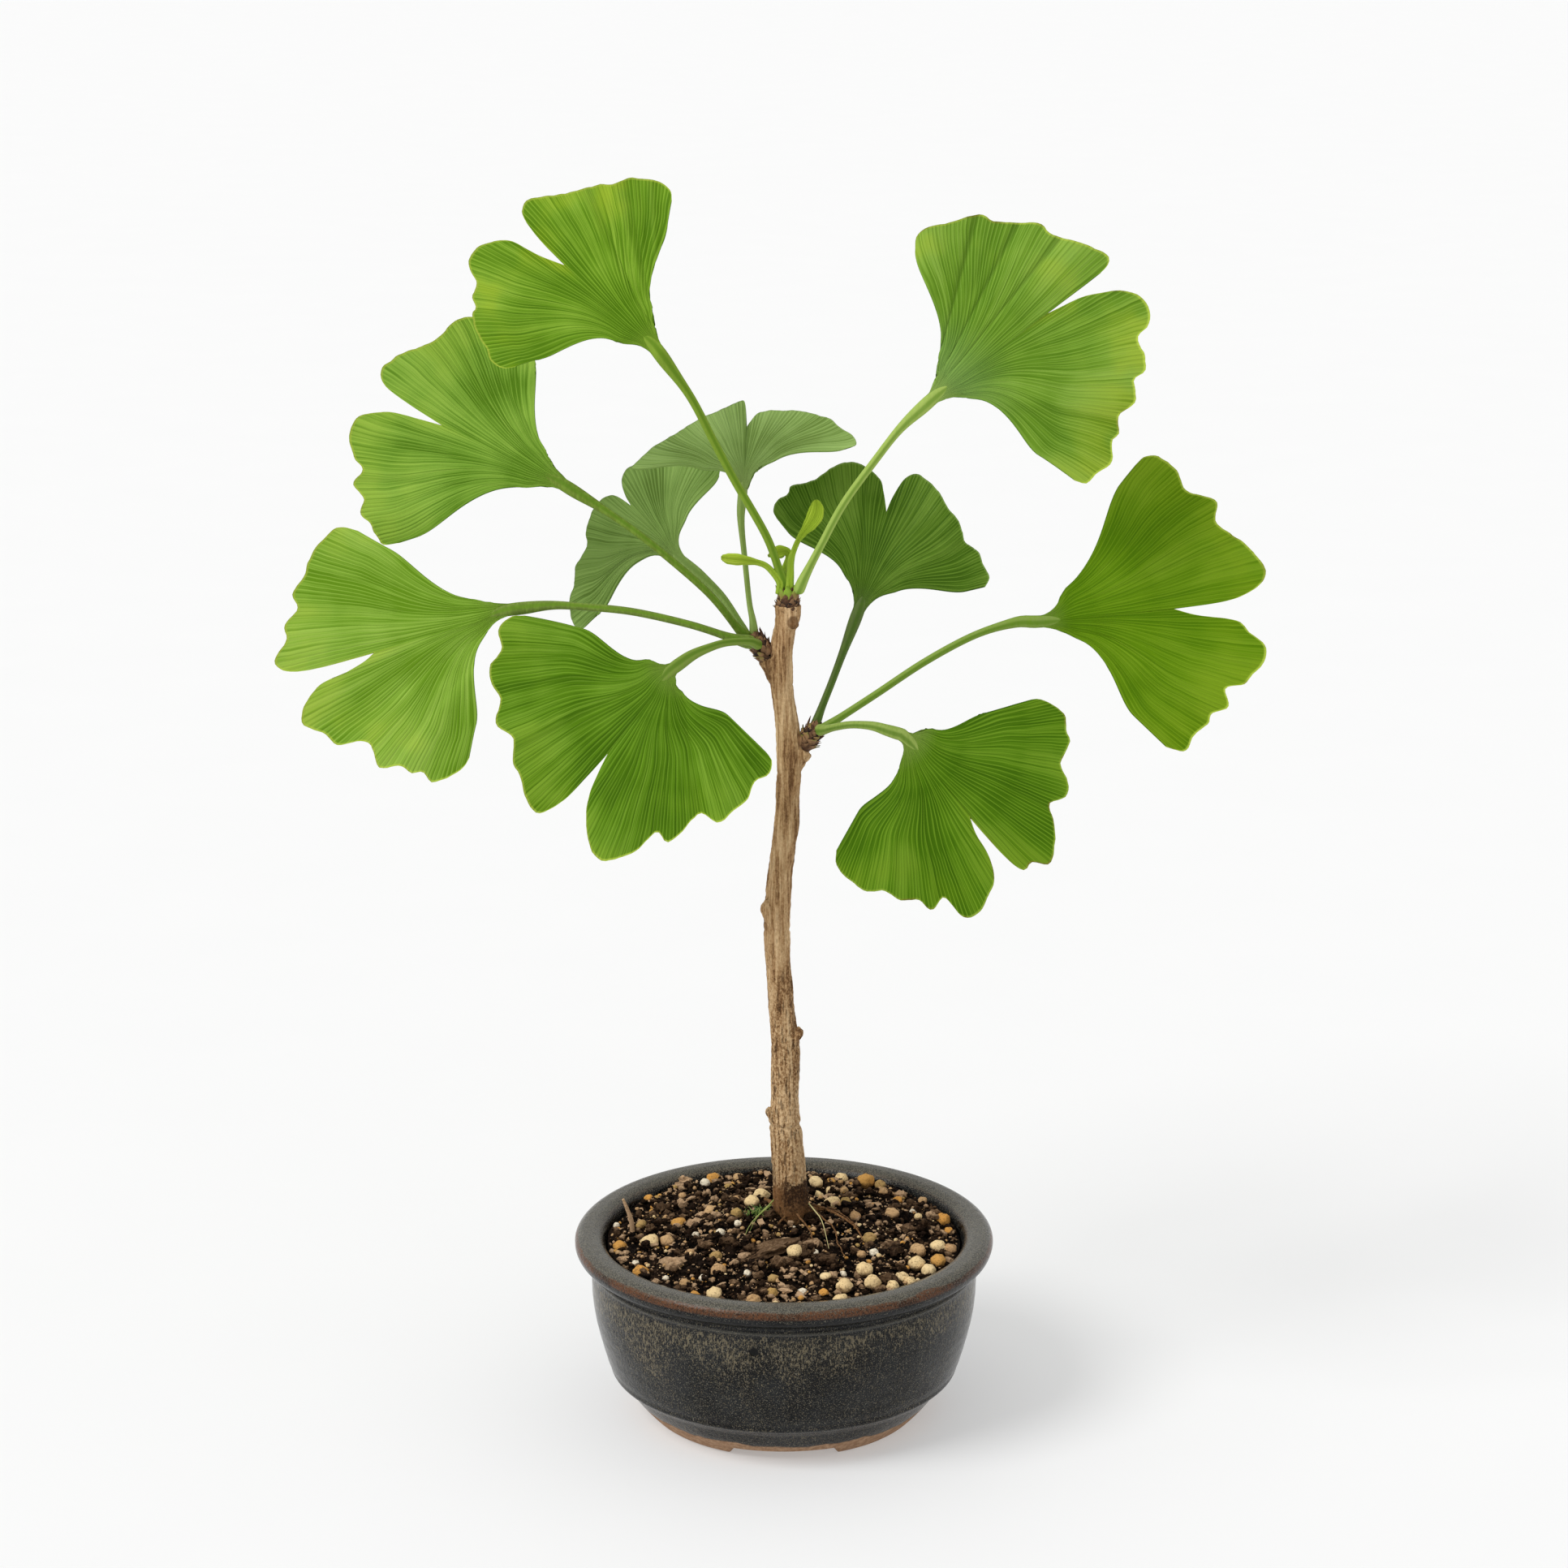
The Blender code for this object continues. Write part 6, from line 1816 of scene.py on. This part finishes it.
@dataclass
class Soil:
    """Soil in the pot: a crumbly mound, loose crumbs, clods, bark bits and granules."""

    rng: random.Random
    rings: int = 76
    around: int = 260
    crumbs: int = 1450
    dust: int = 4000
    clods: int = 80
    chips: int = 110
    grit: int = 820
    pebbles: int = 34
    hollow: tuple = (14.4, -4.4)
    twig: Stem = field(default_factory=lambda: Stem(
        path=[(-37.2, 2.4, 44.0), (-37.5, 2.1, 47.0), (-38.3, 2, 49.6), (-39.4, 1.8, 52.6)],
        radii=[0.65, 0.6, 0.5, 0.34]))

    @staticmethod
    def height(x: float, y: float) -> float:
        """Give the height of the mound over a place: it stands a little higher at the back.

        Args:
            x: Millimetres to the right.
            y: Millimetres to the back.

        Returns:
            The height.
        """
        share = min(1.0, hypot(x, y) / SOIL_EDGE_RADIUS)
        back = 1.2 * smoothstep(8.0, SOIL_EDGE_RADIUS, y)
        return SOIL_EDGE_HEIGHT + back + (SOIL_TOP - SOIL_EDGE_HEIGHT) * (1 - share ** 1.6)

    def roughness(self, x: float, y: float) -> float:
        """Give how far the crumbly surface stands above the mound.

        Args:
            x: Millimetres to the right.
            y: Millimetres to the back.

        Returns:
            The height over the mound.
        """
        near, _ = noise.voronoi(Vector((x * 0.3, y * 0.3, 0.0)))
        clump = 0.5 - near[0]
        fine, _ = noise.voronoi(Vector((x * 0.95, y * 0.95, 5.0)))
        wave = noise.noise(Vector((x * 0.15, y * 0.15, 9.0)))
        hollow = exp(-((x - self.hollow[0]) ** 2 / 34 + (y - self.hollow[1]) ** 2 / 60))
        return 2.7 * clump + 1.0 * (0.5 - fine[0]) + 1.5 * wave - 2.6 * hollow - 0.7

    def surface(self, x: float, y: float) -> Vector:
        """Give the point of the crumbly surface over a place.

        Args:
            x: Millimetres to the right.
            y: Millimetres to the back.

        Returns:
            The point.
        """
        radius = hypot(x, y)
        edge = smoothstep(SOIL_EDGE_RADIUS + 0.5, SOIL_EDGE_RADIUS - 5, radius)
        return Vector((x, y, self.height(x, y) + self.roughness(x, y) * (0.35 + 0.65 * edge)))

    def make(self) -> None:
        """Make the mound and everything that lies on it."""
        earth = EarthFinish().make()
        self.make_mound(earth)
        self.make_crumbs(earth)
        self.make_clods(earth)
        self.make_granules()

    def make_mound(self, earth: Material) -> None:
        """Make the mound, closed down to the pot's floor.

        Args:
            earth: The soil's material.
        """
        shape = Shape()
        points, tones = [], []
        for ring in range(self.rings + 1):
            radius = (SOIL_EDGE_RADIUS - 0.05) * max(0.004, ring / self.rings)
            for step in range(self.around):
                turn = 2 * pi * step / self.around
                points.append(self.surface(radius * cos(turn), radius * sin(turn)))
                # Painted shade: the mound's tone stays near black and falls lowest where its crumbly surface
                # lies low, as the shade in the gaps between crumbs.
                tones.append(0.02 + 0.05 * self.roughness(points[-1].x, points[-1].y))
        for radius, height in ((42.8, 38.0), (41.8, 26.0), (39.0, 14.0), (34.0, 7.2), (0.2, 6.9)):
            for step in range(self.around):
                turn = 2 * pi * step / self.around
                points.append(Vector((radius * cos(turn), radius * sin(turn), height)))
                tones.append(0.0)
        first = shape.add_points(points, tone=tones)
        rows = len(points) // self.around
        shape.add_grid(first, rows, self.around, wrap=True)
        shape.faces.append(tuple(reversed(range(first, first + self.around))))
        shape.faces.append(tuple(range(first + len(points) - self.around, first + len(points))))
        thing = shape.build("soil_mound", earth)
        turn_outward(thing.data)
        install(thing, Slot.SOIL, "soil")

    def scattered(self, count: int, reach: float) -> list[Vector]:
        """Give seeded places on the surface that keep off the trunk.

        Args:
            count: How many there are.
            reach: How far they lie from the pot's axis.

        Returns:
            The places.
        """
        places = []
        while len(places) < count:
            radius = reach * sqrt(self.rng.random())
            turn = self.rng.uniform(0, 2 * pi)
            spot = self.surface(radius * cos(turn), radius * sin(turn))
            if hypot(spot.x - TRUNK_FOOT.x, spot.y - TRUNK_FOOT.y) > 4.6:
                places.append(spot)
        return places

    def any_turn(self) -> Matrix:
        """Give a seeded rotation."""
        return (Matrix.Rotation(self.rng.uniform(0, 6.28), 3, "Z")
                @ Matrix.Rotation(self.rng.uniform(-0.7, 0.7), 3, "X"))

    def make_crumbs(self, earth: Material) -> None:
        """Make the loose crumbs.

        Args:
            earth: The soil's material.
        """
        shape = Shape()
        small = Lump(2)
        rng = self.rng
        for spot in self.scattered(self.crumbs, SOIL_EDGE_RADIUS - 0.8):
            size = 0.32 + 1.05 * rng.random() ** 2.4
            axes = Vector((size, size * rng.uniform(0.6, 1), size * rng.uniform(0.55, 0.9)))
            tone = rng.choice((-0.08, 0.0, 0.05, 0.12, 0.24, 0.44))
            small.add_to(shape, spot + Vector((0, 0, size * 0.3)), axes, self.any_turn(), 0.7, 1.2,
                         rng.uniform(0, 90), tone=tone)
        tiny = Lump(1)
        for spot in self.scattered(self.dust, SOIL_EDGE_RADIUS - 0.6):
            size = rng.uniform(0.16, 0.5)
            axes = Vector((size, size * rng.uniform(0.5, 1), size * rng.uniform(0.4, 0.9)))
            tone = rng.choice((-0.05, 0.02, 0.1, 0.22, 0.4, 0.58))
            tiny.add_to(shape, spot + Vector((0, 0, size * 0.5)), axes, self.any_turn(), 0.6, 1.2,
                        rng.uniform(0, 90), tone=tone)
        install(shape.build("soil_crumbs", earth, flat=True), Slot.SOIL)

    def make_clods(self, earth: Material) -> None:
        """Make larger clods, bits of bark and a twig that stands in the soil.

        Args:
            earth: The soil's material.
        """
        shape = Shape()
        large, small = Lump(3), Lump(2)
        rng = self.rng
        for clod in CLODS:
            spot, scale = self.under_pixel(clod.across, clod.down)
            axes = Vector((clod.half * scale, clod.half * scale * 0.7, clod.tall * scale))
            tilt = Matrix.Rotation(rng.uniform(-0.3, 0.3), 3, "Y")
            large.add_to(shape, spot, axes, tilt, 0.8, 1.9, rng.uniform(0, 90), tone=clod.tone)
        for spot in self.scattered(self.clods, SOIL_EDGE_RADIUS - 5):
            size = rng.uniform(1.2, 2.5)
            axes = Vector((size, size * rng.uniform(0.55, 0.85), size * rng.uniform(0.45, 0.75)))
            large.add_to(shape, spot, axes, self.any_turn(), 0.9, 1.8, rng.uniform(0, 90),
                         tone=rng.choice((-0.02, 0.04, 0.12)))
        for spot in self.scattered(self.chips, SOIL_EDGE_RADIUS - 2.5):
            size = rng.uniform(0.6, 1.9)
            axes = Vector((size, size * rng.uniform(0.25, 0.5), size * rng.uniform(0.2, 0.35)))
            small.add_to(shape, spot + Vector((0, 0, 0.5)), axes, self.any_turn(), 0.6, 1.4,
                         rng.uniform(0, 90), tone=rng.choice((0.38, 0.52, 0.66)))
        sweep(shape, smooth_stem(self.twig, 16), 10, tone=0.62)
        install(shape.build("soil_clods", earth, flat=True), Slot.SOIL)

    def make_granules(self) -> None:
        """Make the granules that the photograph shows, and seeded ones where it shows none."""
        shape = Shape()
        ball = Lump(3)
        rng = self.rng
        seen = []
        for granule in GRANULES:
            spot, scale = self.under_pixel(granule.across, granule.down)
            seen.append(spot)
            self.add_granule(shape, ball, spot, granule.half * scale * 1.04, granule.tone.value, rng)
        for spot in self.scattered(self.pebbles, SOIL_EDGE_RADIUS - 2):
            if spot.y > 6 or hypot(spot.x, spot.y) > 37:
                if all((spot - other).length > 3.5 for other in seen):
                    tone = rng.choice(list(Tone)).value
                    self.add_granule(shape, ball, spot, rng.uniform(0.9, 1.9), tone, rng)
        small = Lump(2)
        for spot in self.scattered(self.grit, SOIL_EDGE_RADIUS - 1.2):
            size = 0.16 + 0.6 * rng.random() ** 2.6
            tone = rng.choice((Tone.BEIGE, Tone.BEIGE, Tone.CREAM, Tone.OLIVE, Tone.BEIGE, Tone.ORANGE)).value
            self.add_granule(shape, small, spot, size, tone, rng)
        install(shape.build("soil_granules", GranuleFinish().make()), Slot.SOIL)

    def add_granule(self, shape: Shape, ball: Lump, spot: Vector, size: float, tone: float,
                    rng: random.Random) -> None:
        """Add one rounded granule, a third sunk in the soil and clear of the pot's wall.

        Args:
            shape: The shape that gets the granule.
            ball: The ball that it is made from.
            spot: Its place on the soil.
            size: Its half width.
            tone: Its place on the granule ramp.
            rng: The seeded random source.
        """
        axes = Vector((size, size * rng.uniform(0.85, 1.0), size * rng.uniform(0.75, 0.92)))
        radius = hypot(spot.x, spot.y)
        room = (SOIL_EDGE_RADIUS - 0.4 - size) / max(radius, 1.0)
        spot = Vector((spot.x * min(1.0, room), spot.y * min(1.0, room), spot.z + size * 0.3))
        ball.add_to(shape, spot, axes, self.any_turn(), 0.22, 1.5, rng.uniform(0, 90),
                    tone=tone + rng.uniform(-0.03, 0.03))

    def under_pixel(self, across: float, down: float) -> tuple[Vector, float]:
        """Find the soil under a pixel of the photograph.

        Args:
            across: Pixels from the photograph's left edge.
            down: Pixels from its top edge.

        Returns:
            The point on the mound and the millimetres that one pixel spans there.
        """
        focal = CAMERA_LENS / SENSOR * IMAGE_SIZE
        right = (across - IMAGE_SIZE / 2) / focal
        up = (IMAGE_SIZE / 2 - down) / focal
        ray = Matrix.Rotation(CAMERA_PITCH, 3, "X") @ Vector((right, up, -1))
        distance = 700.0
        for _ in range(40):
            spot = CAMERA_PLACE + ray * distance
            distance += (self.height(spot.x, spot.y) + 0.8 - spot.z) / ray.z * 0.7
        return self.surface(spot.x, spot.y), distance / focal


@dataclass
class Greenery:
    """Moss tufts and thin green blades at the trunk's foot."""

    rng: random.Random
    tufts: int = 120
    moss_middle: Vector = Vector((-6.0, 3.2, 48.9))
    blades: tuple = (
        (((-2.4, 2.6, 52.2), (-4.2, 1.6, 50.6), (-6.3, -0.7, 49.4), (-8.5, -5.6, 48.4), (-10.0, -12.5, 47.2)),
         0.17, 0.95),
        (((-3.0, 2.2, 51.0), (-5.2, 0.4, 49.9), (-6.9, -2.4, 49.0), (-8.3, -7.5, 47.9)), 0.14, 0.8),
        (((5.2, 3.8, 51.6), (6.0, 3.6, 51.3), (6.8, 1.6, 50.3), (8.1, 0.4, 49.5), (9.3, -3.5, 48.8),
          (10.0, -8.3, 47.9), (10.8, -16.2, 46.9)), 0.22, 1.35))

    def make(self) -> Thing:
        """Make all the green threads in one piece.

        Returns:
            The greenery's piece.
        """
        shape = Shape()
        for path, radius, tone in self.blades:
            self.add_thread(shape, [Vector(point) for point in path], radius, tone)
        for _ in range(self.tufts):
            off = Vector((self.rng.gauss(0, 1.7), self.rng.gauss(0, 1.2), 0))
            start = self.moss_middle + off - Vector((0, 0, 0.25 * abs(off.x)))
            lean = Vector((self.rng.uniform(-1, 1), self.rng.uniform(-1, 1), self.rng.uniform(0.2, 1.1)))
            end = start + lean * self.rng.uniform(0.6, 1.4)
            bend = start.lerp(end, 0.5) + Vector((0, 0, 0.3))
            self.add_thread(shape, [start, bend, end], self.rng.uniform(0.08, 0.17), self.rng.random() * 0.9)
        made = Finish("moss", Roughness=0.6, Specular_IOR_Level=0.3)
        tone = made.plus(made.value("tone"), made.times(made.noise(made.position(), 0.6, 3), 0.4))
        tone = made.times(tone, 0.6)
        made.shade("Base Color", made.ramp(tone, (0.15, (0.02, 0.06, 0.008)), (0.4, (0.085, 0.19, 0.025)),
                                           (0.68, (0.36, 0.43, 0.11)), (0.9, (0.64, 0.57, 0.26))))
        made.bump(made.noise(made.position(), 3, 2), 0.1)
        return install(shape.build("moss_and_blades", made.material), Slot.LEAF)

    def add_thread(self, shape: Shape, path: list[Vector], radius: float, tone: float) -> None:
        """Add one thin blade that tapers to its tip."""
        radii = [radius * (1 - 0.75 * index / (len(path) - 1)) for index in range(len(path))]
        sweep(shape, smooth_stem(Stem(path, radii), 10), 7, tone=tone)


@dataclass
class Studio:
    """Camera, floor and lights of the photograph."""

    floor_size: float = 20.0
    key_from: Vector = Vector((-0.62, -0.4, 0.74))
    key_strength: float = 1.6
    key_spread: float = radians(28)
    sky_strength: float = 0.7
    floor_glow: float = 0.3

    def make(self) -> None:
        """Make the whole studio."""
        bpy.context.scene.view_settings.view_transform = "Standard"
        self.make_camera()
        self.make_floor()
        self.make_lights()

    def make_camera(self) -> None:
        """Set up the photograph's camera."""
        data = bpy.data.cameras.new("camera")
        data.lens = CAMERA_LENS
        data.sensor_width = SENSOR
        data.clip_end = 50
        camera = add_object("camera", data)
        camera.location = CAMERA_PLACE * MM
        camera.rotation_euler = (CAMERA_PITCH, 0, 0)
        bpy.context.scene.camera = camera

    def make_floor(self) -> None:
        """Make a plain pale floor that fills the picture, softly lit from within like a light table."""
        shape = Shape()
        half = self.floor_size / 2 / MM
        shape.add_points([Vector((x, y, 0)) for y in (-half, half) for x in (-half, half)])
        shape.faces.append((0, 1, 3, 2))
        made = Finish("floor", Roughness=0.85, Specular_IOR_Level=0.1)
        grain = made.noise(made.position(), 0.02, 2)
        made.shade("Base Color", made.mix(grain, (0.62, 0.622, 0.62), (0.634, 0.635, 0.632)))
        made.shade("Emission Color", (1, 1, 1))
        made.shade("Emission Strength", self.floor_glow)
        shape.build("floor", made.material)

    def make_lights(self) -> None:
        """Make a large soft key light from the upper left and a pale sky."""
        data = bpy.data.lights.new("key", "SUN")
        data.energy = self.key_strength
        data.angle = self.key_spread
        key = add_object("key", data)
        key.rotation_euler = (-self.key_from).to_track_quat("-Z", "Y").to_euler()
        world = bpy.data.worlds.new("sky")
        world.use_nodes = True
        sky = world.node_tree.nodes["Background"]
        sky.inputs["Color"].default_value = (1.0, 1.0, 1.0, 1.0)
        sky.inputs["Strength"].default_value = self.sky_strength
        bpy.context.scene.world = world


def write_sizes() -> None:
    """Update the scene's view layer."""
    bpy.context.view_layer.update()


def main() -> None:
    """Build every piece of the visual model and the studio."""
    logging.basicConfig(level=logging.INFO)
    rng = random.Random(SEED)
    Studio().make()
    Pot().make()
    Soil(rng).make()
    Trunk().make()
    for spur in SPURS:
        spur.make(rng)
    for leaf in LEAVES:
        leaf.make()
    for young in YOUNG_LEAVES:
        young.make()
    Greenery(rng).make()
    write_sizes()


if __name__ == "__main__":
    main()
